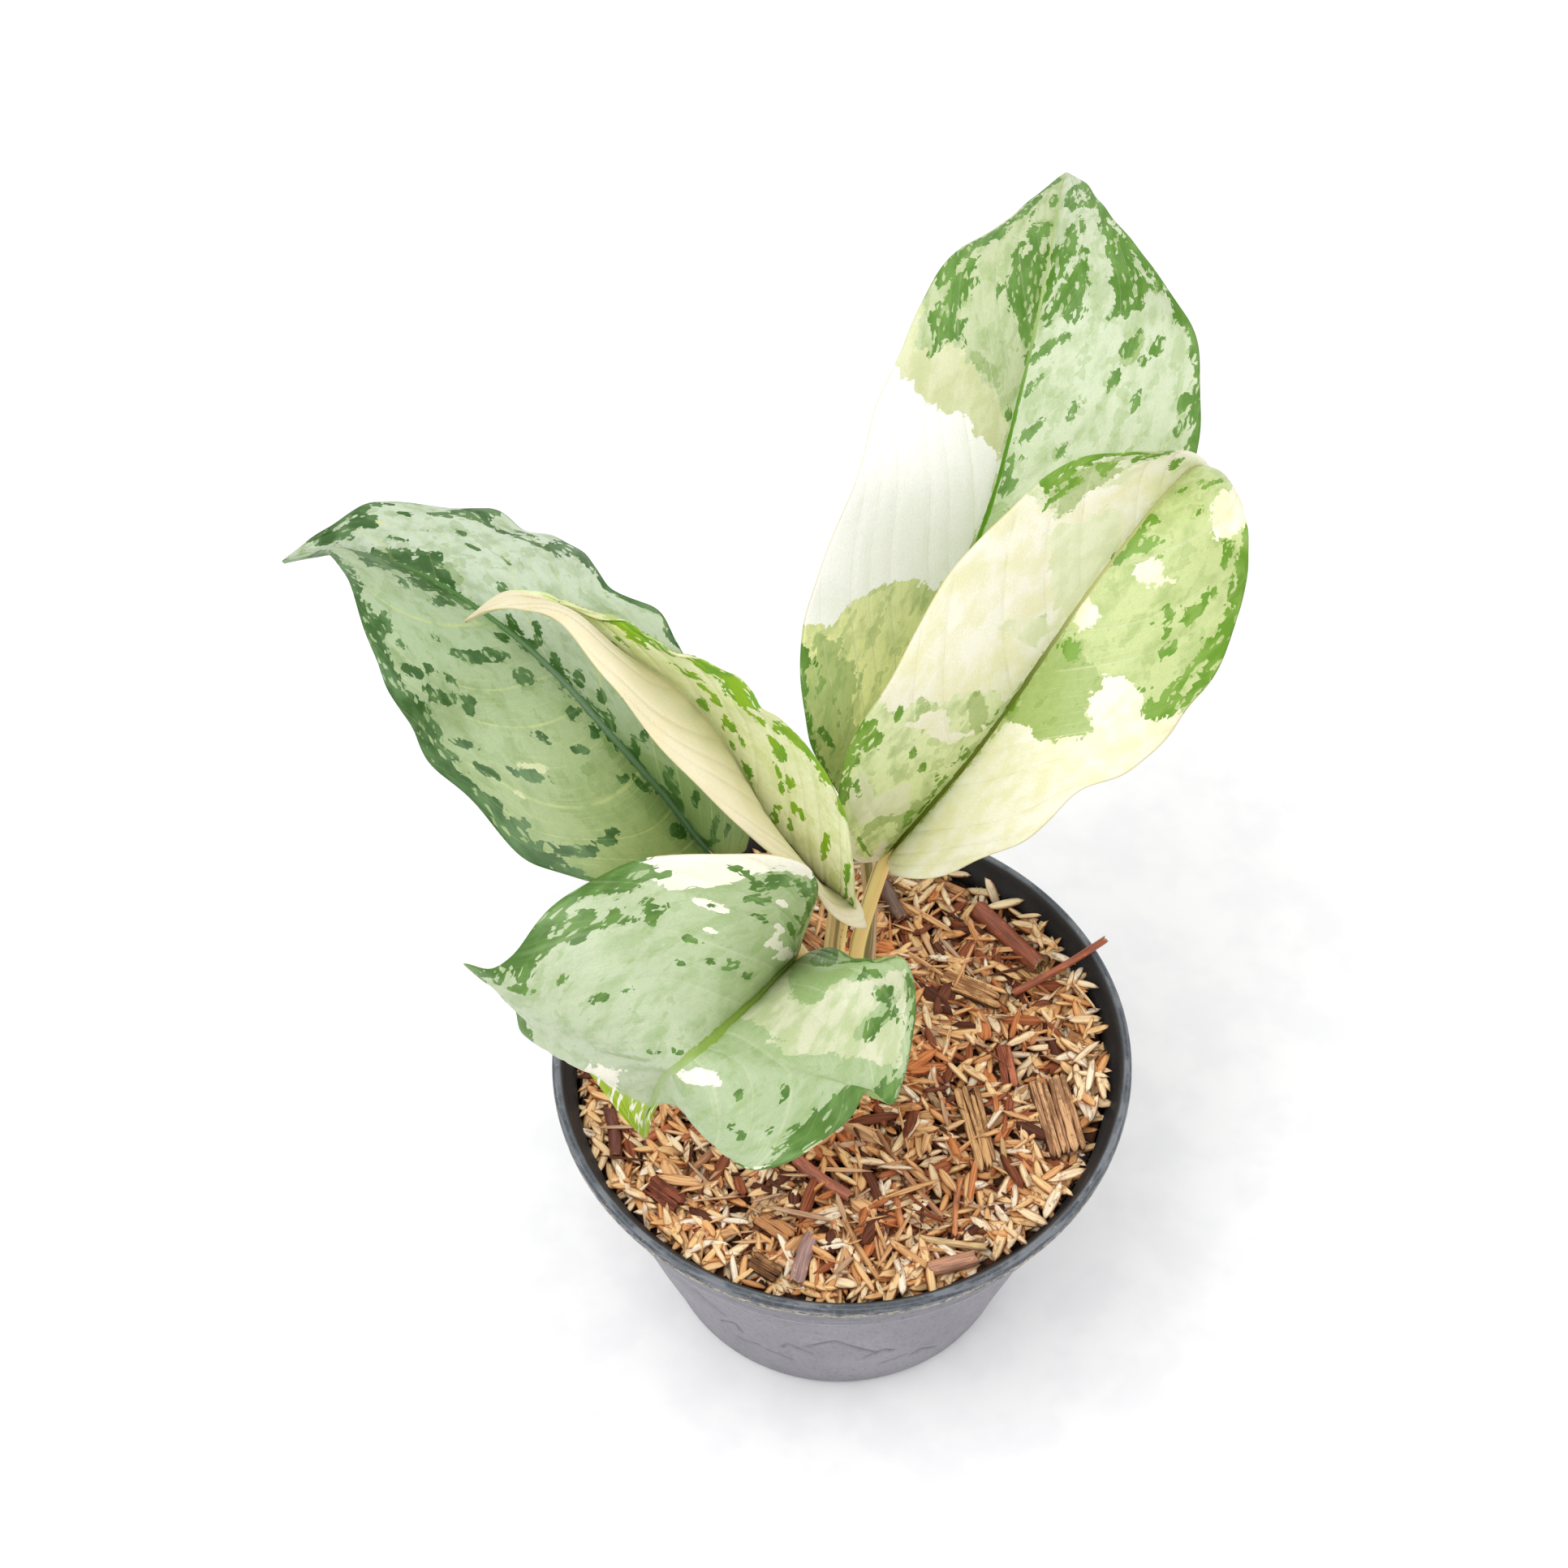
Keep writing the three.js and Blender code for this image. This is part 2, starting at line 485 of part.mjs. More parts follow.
// Blade: its middle surface thickened to both sides, with the midrib standing out below
function bladeGeometry(leaf, margin = 0) {
  const surface = bladeSurface(leaf);
  const width = 2 * BLADE_COLUMNS;
  const pick = (row, column) => surface[THREE.MathUtils.clamp(row, 0, BLADE_ROWS)][
    THREE.MathUtils.clamp(column, 0, width)];
  const faces = [[], []];
  for (let row = 0; row <= BLADE_ROWS; row += 1) {
    for (let column = 0; column <= width; column += 1) {
      const along = pick(row + 1, column).clone().sub(pick(row - 1, column));
      const across = pick(row, column + 1).clone().sub(pick(row, column - 1));
      const normal = across.cross(along).normalize();
      const rib = column === BLADE_COLUMNS ? RIB_DEPTH * (1 - row / BLADE_ROWS) : 0;
      const point = pick(row, column);
      faces[0].push(point.clone().addScaledVector(normal, BLADE_THICKNESS / 2 + margin));
      faces[1].push(point.clone().addScaledVector(normal, -BLADE_THICKNESS / 2 - rib - margin));
    }
  }
  const positions = faces.flat().flatMap((point) => point.toArray());
  const lower = faces[0].length;
  const at = (row, column) => row * (width + 1) + column;
  const indices = [];
  const wall = (a, b) => indices.push(a, lower + a, b, b, lower + a, lower + b);
  for (let row = 0; row < BLADE_ROWS; row += 1) {
    for (let column = 0; column < width; column += 1) {
      const corners = [at(row, column), at(row, column + 1), at(row + 1, column + 1), at(row + 1, column)];
      const split = column < BLADE_COLUMNS ? [0, 1, 2, 0, 2, 3] : [0, 1, 3, 1, 2, 3];
      const triangles = split.map((corner) => corners[corner]);
      indices.push(...triangles);
      indices.push(...triangles.map((corner) => corner + lower).reverse());
    }
    wall(at(row + 1, 0), at(row, 0));
    wall(at(row, width), at(row + 1, width));
  }
  for (let column = 0; column < width; column += 1) {
    wall(at(0, column), at(0, column + 1));
    wall(at(BLADE_ROWS, column + 1), at(BLADE_ROWS, column));
  }
  const geometry = new THREE.BufferGeometry();
  geometry.setAttribute('position', new THREE.Float32BufferAttribute(positions, 3));
  geometry.setIndex(indices);
  geometry.computeVertexNormals();
  return geometry;
}

function named(name, geometry, finish) {
  const mesh = new THREE.Mesh(geometry, finish);
  mesh.name = name;
  return mesh;
}

const plant = new THREE.Group();
plant.name = 'potted_chinese_evergreen';
plant.add(named('pot', potGeometry(), potPlastic));
plant.add(named('potting_mix', mixGeometry(), mixMaterial));
for (const piece of LITTER) {
  plant.add(named(piece.name, litterGeometry(piece), piece.bark ? barkMaterial : twigMaterial));
}
plant.add(named('stem', stemGeometry(), stemMaterial));
plant.add(...stalkMeshes());
for (const [name, leaf] of Object.entries(LEAVES)) {
  plant.add(named(name, bladeGeometry(leaf), leafMaterial));
}

export default plant;
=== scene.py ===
import math

import bpy
import numpy as np
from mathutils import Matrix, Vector, noise


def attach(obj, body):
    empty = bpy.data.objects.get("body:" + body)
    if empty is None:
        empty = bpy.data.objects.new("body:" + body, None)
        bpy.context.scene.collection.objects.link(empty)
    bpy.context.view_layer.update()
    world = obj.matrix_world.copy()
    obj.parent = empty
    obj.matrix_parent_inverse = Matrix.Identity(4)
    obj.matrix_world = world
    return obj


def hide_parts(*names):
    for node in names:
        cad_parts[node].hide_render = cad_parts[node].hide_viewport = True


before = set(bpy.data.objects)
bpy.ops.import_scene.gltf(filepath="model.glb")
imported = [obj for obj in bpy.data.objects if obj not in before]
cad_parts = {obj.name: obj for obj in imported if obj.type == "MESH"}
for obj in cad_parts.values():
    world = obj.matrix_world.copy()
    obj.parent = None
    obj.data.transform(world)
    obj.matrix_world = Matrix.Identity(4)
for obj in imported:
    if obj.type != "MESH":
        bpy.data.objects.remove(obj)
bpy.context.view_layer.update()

# Camera. It looks down on the plant from in front, at about 53 degrees, through a long lens,
# so that the pot's rim and the leaf tips fall where the photograph shows them.
CAMERA_PLACE = (-0.0150, -0.4482, 0.8142)
CAMERA_TILT = 36.56

lens = bpy.data.cameras.new("camera")
lens.sensor_width = 24.0
lens.lens = 50.0
camera = bpy.data.objects.new("camera", lens)
camera.location = CAMERA_PLACE
camera.rotation_euler = (math.radians(CAMERA_TILT), 0.0, 0.0)
bpy.context.scene.collection.objects.link(camera)
bpy.context.scene.camera = camera


# Floor and light. A sheet of white paper lies under the pot, a wide soft lamp hangs above
# and to the left, and white walls all round fill the shadows.
MM = 0.001
FLOOR_SPAN = 3.0
SHEET_HEIGHT = -0.1
PAPER = (250, 250, 250)
PAPER_SHADE = (244, 244, 245)
WALL_LIGHT = 0.86
LAMP_AIM = (0, 0, 0.1)
LAMPS = (
    # name, place, size, watts
    ("lamp_above", (-0.55, -0.35, 1.5), 1.1, 12.5),
    ("lamp_right", (1.1, 0.3, 0.9), 1.0, 3.5),
)


def paint(red, green, blue):
    """A colour by its screen values from 0 to 255."""
    steps = (channel / 255 for channel in (red, green, blue))
    return (*(((s + 0.055) / 1.055) ** 2.4 if s > 0.04 else s / 12.92 for s in steps), 1.0)


class Finish:
    """A surface finish: patterns mixed over one coat, all colours given as screen values."""

    def __init__(self, name, roughness, specular):
        self.material = bpy.data.materials.new(name)
        self.material.use_nodes = True
        self.tree = self.material.node_tree
        self.coat = self.tree.nodes["Principled BSDF"].inputs
        self.coat["Roughness"].default_value = roughness
        self.coat["Specular IOR Level"].default_value = specular

    def add(self, kind, values, **settings):
        node = self.tree.nodes.new("ShaderNode" + kind)
        for key, value in settings.items():
            setattr(node, key, value)
        for key, value in values.items():
            self.feed(node.inputs[key], value)
        return node.outputs

    def feed(self, socket, value):
        if isinstance(value, bpy.types.NodeSocket):
            self.tree.links.new(value, socket)
        else:
            socket.default_value = paint(*value) if socket.type == "RGBA" else value

    def place(self):
        return self.add("TexCoord", {})["Object"]

    def mark(self, name, kind="Fac"):
        """A value that was laid on the mesh point by point."""
        return self.add("Attribute", {}, attribute_name=name)[kind]

    def marks(self, *names):
        """Coordinates made of two or three such values."""
        return self.add("CombineXYZ", dict(zip("XYZ", map(self.mark, names))))[0]

    def stretch(self, place, sizes, shift):
        """Coordinates moved by a shift, then counted in pattern sizes along each way."""
        if shift:
            place = self.add("VectorMath", {0: place, 1: (shift,) * 3}, operation="ADD")[0]
        scales = tuple(1 / size for size in sizes)
        return self.add("VectorMath", {0: place, 1: scales}, operation="MULTIPLY")[0]

    def cloud(self, place, sizes, detail=3.0, rough=0.55, shift=0.0):
        """Soft random patches of the given sizes, from 0 to 1."""
        values = {"Vector": self.stretch(place, sizes, shift), "Scale": 1.0, "Detail": detail,
                  "Roughness": rough}
        return self.add("TexNoise", values)["Fac"]

    def cells(self, place, sizes, shift=0.0):
        """Small angular cells, each with its own random value from 0 to 1."""
        values = {"Vector": self.stretch(place, sizes, shift), "Scale": 1.0}
        own = self.add("TexVoronoi", values)["Color"]
        return self.add("SeparateColor", {"Color": own})["Red"]

    def work(self, kind, *values):
        return self.add("Math", dict(enumerate(values)), operation=kind)[0]

    def sum(self, first, second):
        return self.work("ADD", first, second)

    def times(self, first, second):
        return self.work("MULTIPLY", first, second)

    def rise(self, value, low, high, top=1.0):
        """0 below low, top above high, and smooth between."""
        values = {"Value": value, "From Min": low, "From Max": high, "To Min": 0.0, "To Max": top}
        return self.add("MapRange", values, interpolation_type="SMOOTHSTEP")["Result"]

    def band(self, value, start, full, fading, end):
        """1 between full and fading, 0 before start and after end."""
        return self.times(self.rise(value, start, full), self.rise(value, end, fading))

    def between(self, value, low, high):
        return self.add("MapRange", {"Value": value, "To Min": low, "To Max": high})["Result"]

    def blend(self, share, under, over, kind="MIX"):
        values = {0: share, 6: under, 7: over}
        return self.add("Mix", values, data_type="RGBA", blend_type=kind)[2]

    def shade(self, share, under, over):
        """Multiplies the colour under by the colour over."""
        return self.blend(share, under, over, "MULTIPLY")

    def tones(self, value, tones, step, reach):
        """One tone after another as the value grows: a new one each step, coming over a reach."""
        colour = tones[0]
        for order, tone in enumerate(tones[1:]):
            start = order * step
            colour = self.blend(self.rise(value, start, start + reach), colour, tone)
        return colour

    def bump(self, height, depth, strength):
        values = {"Height": height, "Distance": depth, "Strength": strength}
        self.feed(self.coat["Normal"], self.add("Bump", values)["Normal"])

    def done(self, colour, roughness=None):
        self.feed(self.coat["Base Color"], colour)
        if roughness is not None:
            self.feed(self.coat["Roughness"], roughness)
        return self


def solid(name, points, faces, finish, marks=None):
    """A mesh object from points in millimetres, with values marked on its points."""
    mesh = bpy.data.meshes.new(name)
    mesh.from_pydata((np.asarray(points, float) * MM).tolist(), [], faces)
    mesh.update()
    for key, values in (marks or {}).items():
        values = np.asarray(values, np.float32)
        kind, field = ("FLOAT", "value") if values.ndim == 1 else ("FLOAT_VECTOR", "vector")
        mesh.attributes.new(key, kind, "POINT").data.foreach_set(field, values.ravel())
    mesh.polygons.foreach_set("use_smooth", [True] * len(mesh.polygons))
    mesh.materials.append(finish.material)
    piece = bpy.data.objects.new(name, mesh)
    bpy.context.scene.collection.objects.link(piece)
    return piece


paper = Finish("paper", roughness=0.9, specular=0.2)
fibres = paper.cloud(paper.place(), (0.02, 0.02, 0.02))
paper.done(paper.blend(paper.rise(fibres, 0.35, 0.65), PAPER_SHADE, PAPER))
half = FLOOR_SPAN / MM / 2
corner_ways = ((-1, -1), (1, -1), (1, 1), (-1, 1))
sheet_corners = [(x * half, y * half, SHEET_HEIGHT) for x, y in corner_ways]
sheet = solid("paper_floor", sheet_corners, [(0, 1, 2, 3)], paper)

walls = bpy.data.worlds.new("white_walls")
walls.use_nodes = True
wall_paint = walls.node_tree.nodes["Background"].inputs
wall_paint["Color"].default_value = (1.0, 1.0, 1.0, 1.0)
wall_paint["Strength"].default_value = WALL_LIGHT
bpy.context.scene.world = walls
bpy.context.scene.view_settings.view_transform = "Standard"

for lamp_name, lamp_place, lamp_size, watts in LAMPS:
    lamp_data = bpy.data.lights.new(lamp_name, "AREA")
    lamp_data.shape = "SQUARE"
    lamp_data.size = lamp_size
    lamp_data.energy = watts
    lamp = bpy.data.objects.new(lamp_name, lamp_data)
    lamp.location = lamp_place
    aim = Vector(LAMP_AIM) - Vector(lamp_place)
    lamp.rotation_euler = aim.to_track_quat("-Z", "Y").to_euler()
    bpy.context.scene.collection.objects.link(lamp)


# Pot. A thin flower pot of soft black plastic, blown in one piece with a collar and a rolled
# rim. Use has turned it grey, creased its wall and left dirt along the rim, and eight holes
# drain its floor.
POT_TURN = 480
WALL_STEP = 0.9
PLAIN_STEP = 3.0
OUTER_WALL = range(2, 14)
POT_PROFILE = (
    # radius and height, from the middle of the underside up the wall and back to the floor
    (0, 0), (47.3, 0), (48.3, 1), (55.7, 30), (66.4, 73), (69.3, 74.6), (70.3, 88.4), (74, 89),
    (75, 90.5), (75, 92.6), (74.2, 93.7), (73.2, 94), (72.2, 93.4), (71.3, 90.5), (68.9, 87),
    (68.3, 79), (65.7, 76), (47.77, 3.5), (45.9, 2), (0, 2),
)
POT_MIDDLE = (
    # height and radius halfway through the wall, which part its inside from its outside
    (0, 47.2), (30, 55), (73, 65.7), (75, 67.6), (79, 69), (88.4, 70), (89.2, 72.5), (94, 73.2),
)
POT_FLOOR = 1.5
DRAIN_HOLES = 8
DRAIN_RADIUS = 4.0
DRAIN_CIRCLE = 32.0
DRILL_ENDS = (-4, 7)
SLACK = 0.22
FINE_SLACK = 0.16
LIP_WAVE = 0.12
DENT_DEPTH = 0.7
CREASE_DEPTH = 0.6
CREASE_WIDTH = 0.75
CREASE_CIRCLE = 62
CREASES = (
    # corners of each crease and scratch: angle round the pot in degrees and height
    ((-127, 58), (-121, 46)), ((-124, 34), (-119, 41), (-118, 33)),
    ((-120, 26), (-118, 25), (-114, 27)), ((-111, 25), (-107, 24), (-104, 22)),
    ((-106, 33), (-104, 39), (-98, 33)), ((-99, 40), (-92, 50), (-82, 36)),
    ((-83, 32), (-79, 37), (-76, 33)), ((-78, 20), (-72, 23)), ((-69, 20), (-67, 23), (-62, 17)),
    ((-55, 62), (-48, 70)),
)
CREASE_REPEATS = (
    # turn, rise and how much softer
    (0, 0, 0.0), (116, 6, 0.35), (241, -4, 0.35),
)
POT_GREY = (131, 129, 136)
POT_DARK = (78, 80, 88)
POT_RIM = (66, 71, 78)
POT_DUST = (134, 138, 144)
POT_INSIDE = (40, 40, 43)
POT_DIRT = (196, 184, 160)
# heights in metres: from where, full, fading and to where
LEDGE_LIGHT = (0.0736, 0.0742, 0.0748, 0.0756)
RIM_DIRT = (0.0872, 0.0882, 0.0914, 0.0928)


def tinted(colour, share=1.0, more=0):
    """The same colour, made darker or lighter by a share and by some steps."""
    return tuple(np.minimum(255, np.array(colour) * share + more))


def even_steps(profile):
    """The same outline with points close together on the outer wall, its corners eased."""
    points = [np.array(profile[0], float)]
    for order, (start, end) in enumerate(zip(profile, profile[1:])):
        start, end = np.array(start, float), np.array(end, float)
        step = WALL_STEP if order in OUTER_WALL else PLAIN_STEP
        count = max(1, round(float(np.hypot(*(end - start))) / step))
        points += [start + (end - start) * (k + 1) / count for k in range(count)]
    line = np.array(points)
    line[1:-1] = line[1:-1] * 0.5 + (line[:-2] + line[2:]) * 0.25
    return line


def shifted(faces, count):
    """The same faces, with their corners counted from a later point."""
    return [tuple(corner + count for corner in face) for face in faces]


def tube_faces(rings, sides, tips=True, inside_out=False):
    """Faces of a tube of rings of points, closed at both ends by a tip point or a flat face."""
    faces, first, top = [], int(tips), int(tips) + (rings - 1) * sides
    for side in range(sides):
        turn = (side + 1) % sides
        for low in range(first, top, sides):
            high = low + sides
            faces.append((low + side, low + turn, high + turn, high + side))
        if tips:
            faces += [(0, first + turn, first + side), (top + side, top + turn, top + sides)]
    if inside_out:
        faces = [face[:1] + face[:0:-1] for face in faces]
    if not tips:
        ends = tuple(range(sides)), tuple(reversed(range(top, top + sides)))
        faces += [end if inside_out else end[::-1] for end in ends]
    return faces


def turned(profile, count):
    """Points and faces of an outline turned round the upright axis; its ends lie on the axis."""
    angles = np.arange(count) / count * math.tau
    radius, height = profile[1:-1].T
    ring = np.stack([np.outer(radius, np.cos(angles)), np.outer(radius, np.sin(angles)),
                     np.repeat(height[:, None], count, 1)], axis=2).reshape(-1, 3)
    points = np.vstack([[0, 0, profile[0][1]], ring, [0, 0, profile[-1][1]]])
    return points, tube_faces(len(radius), count)


def crease_strength(angle, height, radius):
    """How close points of the wall lie to a crease, from 0 to 1. The creases come three times
    round the pot, turned and raised a little."""
    near = np.full(angle.shape, 9.0)
    for turn, raised, softer in CREASE_REPEATS:
        for corners in CREASES:
            for start, end in zip(corners, corners[1:]):
                degrees = (np.degrees(angle) - start[0] - turn + 180) % 360 - 180
                round_by, up_by = np.radians(degrees) * radius, height - start[1] - raised
                way = np.radians(end[0] - start[0]) * CREASE_CIRCLE, end[1] - start[1]
                share = (round_by * way[0] + up_by * way[1]) / (way[0] ** 2 + way[1] ** 2)
                share = np.clip(share, 0, 1)
                gap = np.hypot(round_by - share * way[0], up_by - share * way[1])
                near = np.minimum(near, gap + softer)
    return np.exp(-(near / CREASE_WIDTH) ** 2)


def wall_offset(points):
    """How far the soft wall stands out or in at each point: slack, dents and creases."""
    angle = np.arctan2(points[:, 1], points[:, 0])
    height, radius = points[:, 2], np.hypot(points[:, 0], points[:, 1])
    free = np.clip(height / 30, 0, 1) * np.clip((72 - height) / 6, 0, 1) * (radius > 45)
    slack = SLACK * np.sin(3 * angle + 0.6) + FINE_SLACK * np.sin(5 * angle + height * 0.05)
    dents = [noise.noise(Vector((math.cos(a) * 2.4, math.sin(a) * 2.4, h / 22)))
             for a, h in zip(angle, height)]
    crease = crease_strength(angle, height, np.maximum(radius, 30))
    lip = LIP_WAVE * np.sin(4 * angle + 1.0) * (height > 78)
    return free * (slack + DENT_DEPTH * np.array(dents)) - CREASE_DEPTH * crease + lip, crease


plastic = Finish("pot_plastic", roughness=0.55, specular=0.4)
spot = plastic.place()
height = plastic.add("SeparateXYZ", {0: spot})["Z"]
round_at = plastic.mark("round")
bloom = plastic.cloud(spot, (0.018, 0.018, 0.03), detail=4)
wear = plastic.cloud(spot, (0.0012, 0.0012, 0.0035), detail=4, rough=0.7)
grey = plastic.blend(plastic.rise(bloom, 0.3, 0.7), POT_GREY, tinted(POT_GREY, more=14))
grey = plastic.blend(plastic.rise(wear, 0.5, 0.75, 0.35), grey, POT_DARK)
# the blacker rim, with fine worn hoops round it
on_rim = plastic.rise(height, 0.0875, 0.0895)
black = plastic.blend(plastic.rise(wear, 0.4, 0.7), POT_RIM, tinted(POT_RIM, more=22))
grey = plastic.blend(on_rim, grey, black)
round_and_up = plastic.add("CombineXYZ", {"X": round_at, "Y": height})[0]
hoops = plastic.rise(plastic.cloud(round_and_up, (0.0006, 0.001, 1.0)), 0.5, 0.64, 0.5)
grey = plastic.blend(plastic.times(hoops, on_rim), grey, tinted(POT_RIM, more=44))
# a painted highlight along the ledge under the collar, painted shade in the folds, and dusty scuffs
# on the collar
ledge_highlight = plastic.times(plastic.band(height, *LEDGE_LIGHT), plastic.rise(wear, 0.42, 0.56, 0.9))
grey = plastic.blend(ledge_highlight, grey, tinted(POT_GREY, more=50))
# painted shade in the creases, where the dents fall into shadow
fold_shade = plastic.rise(plastic.mark("crease"), 0.2, 0.9, 0.7)
grey = plastic.blend(plastic.times(fold_shade, plastic.rise(bloom, 0.36, 0.56)), grey, POT_DARK)
scuffs = plastic.cloud(spot, (0.011, 0.011, 0.0007), detail=4, rough=0.65, shift=9.0)
collar = plastic.times(plastic.rise(height, 0.0745, 0.0775), plastic.rise(scuffs, 0.46, 0.6, 0.6))
grey = plastic.blend(collar, grey, plastic.blend(on_rim, tinted(POT_DARK, more=22), POT_DUST))
# dirt under the rim, a few specks everywhere, and the dark inside
dirt = plastic.cloud(spot, (0.0022, 0.0022, 0.0008), detail=5, rough=0.75)
dirt_band = plastic.times(plastic.band(height, *RIM_DIRT), plastic.rise(round_at, 0.0704, 0.0712))
dirty = plastic.times(plastic.rise(dirt, 0.44, 0.58, 0.9), dirt_band)
specks = plastic.cloud(spot, (0.0009, 0.0009, 0.0009), detail=2, shift=3.1)
dirty = plastic.work("MAXIMUM", dirty, plastic.rise(specks, 0.68, 0.76, 0.6))
grey = plastic.blend(dirty, grey, POT_DIRT)
grey = plastic.blend(plastic.mark("inside"), grey, POT_INSIDE)
plastic.bump(plastic.sum(wear, dirt), 0.0002, 0.5)
plastic.done(grey, plastic.between(wear, 0.42, 0.7))

pot = solid("pot_body", *turned(even_steps(POT_PROFILE), POT_TURN), plastic)
# the drain holes, drilled through the floor
low, high = DRILL_ENDS
drill_line = np.array([(0, low), (DRAIN_RADIUS, low), (DRAIN_RADIUS, high), (0, high)], float)
drill, drill_faces = turned(drill_line, 32)
drill_turns = (np.arange(DRAIN_HOLES) + 0.5) / DRAIN_HOLES * math.tau
drill_points = np.vstack([drill + (math.cos(turn) * DRAIN_CIRCLE, math.sin(turn) * DRAIN_CIRCLE, 0)
                          for turn in drill_turns])
every = [face for k in range(DRAIN_HOLES) for face in shifted(drill_faces, k * len(drill))]
drills = solid("drills", drill_points, every, plastic)
cut = pot.modifiers.new("drain_holes", "BOOLEAN")
cut.object, cut.operation, cut.solver = drills, "DIFFERENCE", "MANIFOLD"
in_scene = bpy.context.evaluated_depsgraph_get()
cut_mesh = bpy.data.meshes.new_from_object(pot.evaluated_get(in_scene))
pot.modifiers.clear()
pot.data = cut_mesh
bpy.data.objects.remove(drills)

# the wall's slack, dents and creases, and what its finish has to know of each point
spots = np.empty(len(cut_mesh.vertices) * 3)
cut_mesh.vertices.foreach_get("co", spots)
spots = spots.reshape(-1, 3) / MM
offset, crease = wall_offset(spots)
reach = np.maximum(np.hypot(spots[:, 0], spots[:, 1]), 1e-6)
spots[:, :2] *= (1 + offset / reach)[:, None]
cut_mesh.vertices.foreach_set("co", (spots * MM).ravel())
inside = (reach < np.interp(spots[:, 2], *zip(*POT_MIDDLE))) & (spots[:, 2] > POT_FLOOR)
for mark_name, values in (("crease", crease * ~inside), ("inside", inside), ("round", reach * MM)):
    marks = cut_mesh.attributes.new(mark_name, "FLOAT", "POINT")
    marks.data.foreach_set("value", values.astype(np.float32))
cut_mesh.polygons.foreach_set("use_smooth", [True] * len(cut_mesh.polygons))
cut_mesh.set_sharp_from_angle(angle=math.radians(50))


def belongs(piece, slot, *nodes):
    """A piece that rides with the plant and stands for CAD nodes, which it hides; the slot it is
    given is not used.
    """
    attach(piece, "root")
    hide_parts(*nodes)


belongs(pot, "pot_plastic", "pot")


# Potting mix. Rice husks and wood crumbs fill the pot to a finger below its rim, with a low
# mound at the cane. The body under the husks is dark, damp crumb.
MIX_TOP = 85.5
MIX_MOUND = 1.8
MOUND_REACH = 30
MIX_RINGS = 56
MIX_TURN = 170
MIX_REACH = 68.2
MIX_BOTTOM = 2.4
MIX_BOTTOM_REACH = 46.5
CRUMB_SIZE = 4
CRUMB_SINK = 1.2
CRUMB_RELIEF = 1.1
CRUMB_DARK = (40, 25, 18)
CRUMB_BROWN = (92, 58, 38)


def mix_height(x, y):
    """Height of the mix: a low mound at the cane with soft hollows round it."""
    mound = MIX_MOUND * np.exp(-(x ** 2 + y ** 2) / MOUND_REACH ** 2)
    hollows = 0.7 * np.sin(x * 0.11 + 1) * np.cos(y * 0.13) + 0.4 * np.sin(x * 0.23 - y * 0.19)
    return MIX_TOP + mound + hollows


bed = [(0.0, 0.0, float(mix_height(0, 0)))]
for ring in range(1, MIX_RINGS + 1):
    for side in range(MIX_TURN):
        turn = (side + ring % 2 / 2) / MIX_TURN * math.tau
        x, y = (MIX_REACH * ring / MIX_RINGS * f(turn) for f in (math.cos, math.sin))
        crumb = noise.fractal(Vector((x / CRUMB_SIZE, y / CRUMB_SIZE, 0)), 0.8, 2.2, 4)
        bed.append((x, y, float(mix_height(x, y)) - CRUMB_SINK + CRUMB_RELIEF * crumb))
for side in range(MIX_TURN):
    x, y = (MIX_BOTTOM_REACH * f(side / MIX_TURN * math.tau) for f in (math.cos, math.sin))
    bed.append((x, y, MIX_BOTTOM))
bed.append((0.0, 0.0, MIX_BOTTOM))

crumb = Finish("potting_crumb", roughness=0.85, specular=0.25)
lumps = crumb.cloud(crumb.place(), (0.003, 0.003, 0.003), detail=6, rough=0.7)
crumb.bump(lumps, 0.0008, 0.8)
crumb.done(crumb.blend(crumb.rise(lumps, 0.4, 0.65), CRUMB_DARK, CRUMB_BROWN))
bed_piece = solid("mix_bed", bed, tube_faces(MIX_RINGS + 1, MIX_TURN, inside_out=True), crumb)
belongs(bed_piece, "potting_mix", "potting_mix")


# Husks and shreds. Split rice husks, pale boats with a keel, lie thickly on the mix at every
# slant and bank up at the right wall, with shreds of coir, straw and splinters of wood.
HUSKS = 2050
RIM_HUSKS = 660
HUSK_RINGS = 5
HUSK_SECTION = ((0.5, -0.22), (0.27, 0.42), (-0.27, 0.42), (-0.5, -0.22), (-0.2, 0.1), (0.2, 0.1))
HUSK_LENGTHS = (7.4, 11.6)
HUSK_WIDTH_SHARES = (0.19, 0.29)
HUSK_DEPTHS = (0.9, 1.6)
HUSK_PITCH = 0.32
HUSK_ROLL = 0.5
UPSIDE_DOWN = 0.3
# lift over the mix in the layer, and under or close to a stick or bark piece
HUSK_LOWEST = -0.2
HUSK_LAYER = 3.0
HUSK_CLEAR = 1.2
HUSK_SUNK = -0.9
SHRED_RINGS = 4
SHRED_SECTION = ((0.5, -0.3), (0.3, 0.4), (-0.35, 0.5), (-0.5, -0.4))
SHREDS = (
    # name, how many, then from and to: length, width, depth, lift over the mix, tone
    ("coir_shreds", 520, (7, 19), (0.5, 1.3), (0.3, 0.8), (0.2, 2.8), (-0.2, 0.9)),
    ("straw_slivers", 260, (8, 20), (0.9, 1.9), (0.3, 0.6), (1.4, 3.6), (0.55, 1)),
    ("wood_splinters", 620, (5, 17), (1.7, 4.6), (0.7, 1.6), (-0.2, 3.2), (-0.05, 0.85)),
)
SHRED_PITCH = 0.16
SHRED_ROLL = 0.8
SHRED_CLEAR = 1.5
SHRED_SUNK = -1.0
SHRED_REACH = 66.5
MIX_EDGE = 67.0
RIM_RING = (58.0, 67.4)
BANK_HEIGHT = 3.6
BANK_FOOT = 56
BANK_RUN = 8
BANK_SIDE = (0.92, 0.39)
PLANT_PLACE = (1.0, 6.0)
PLANT_CLEAR = 7.0
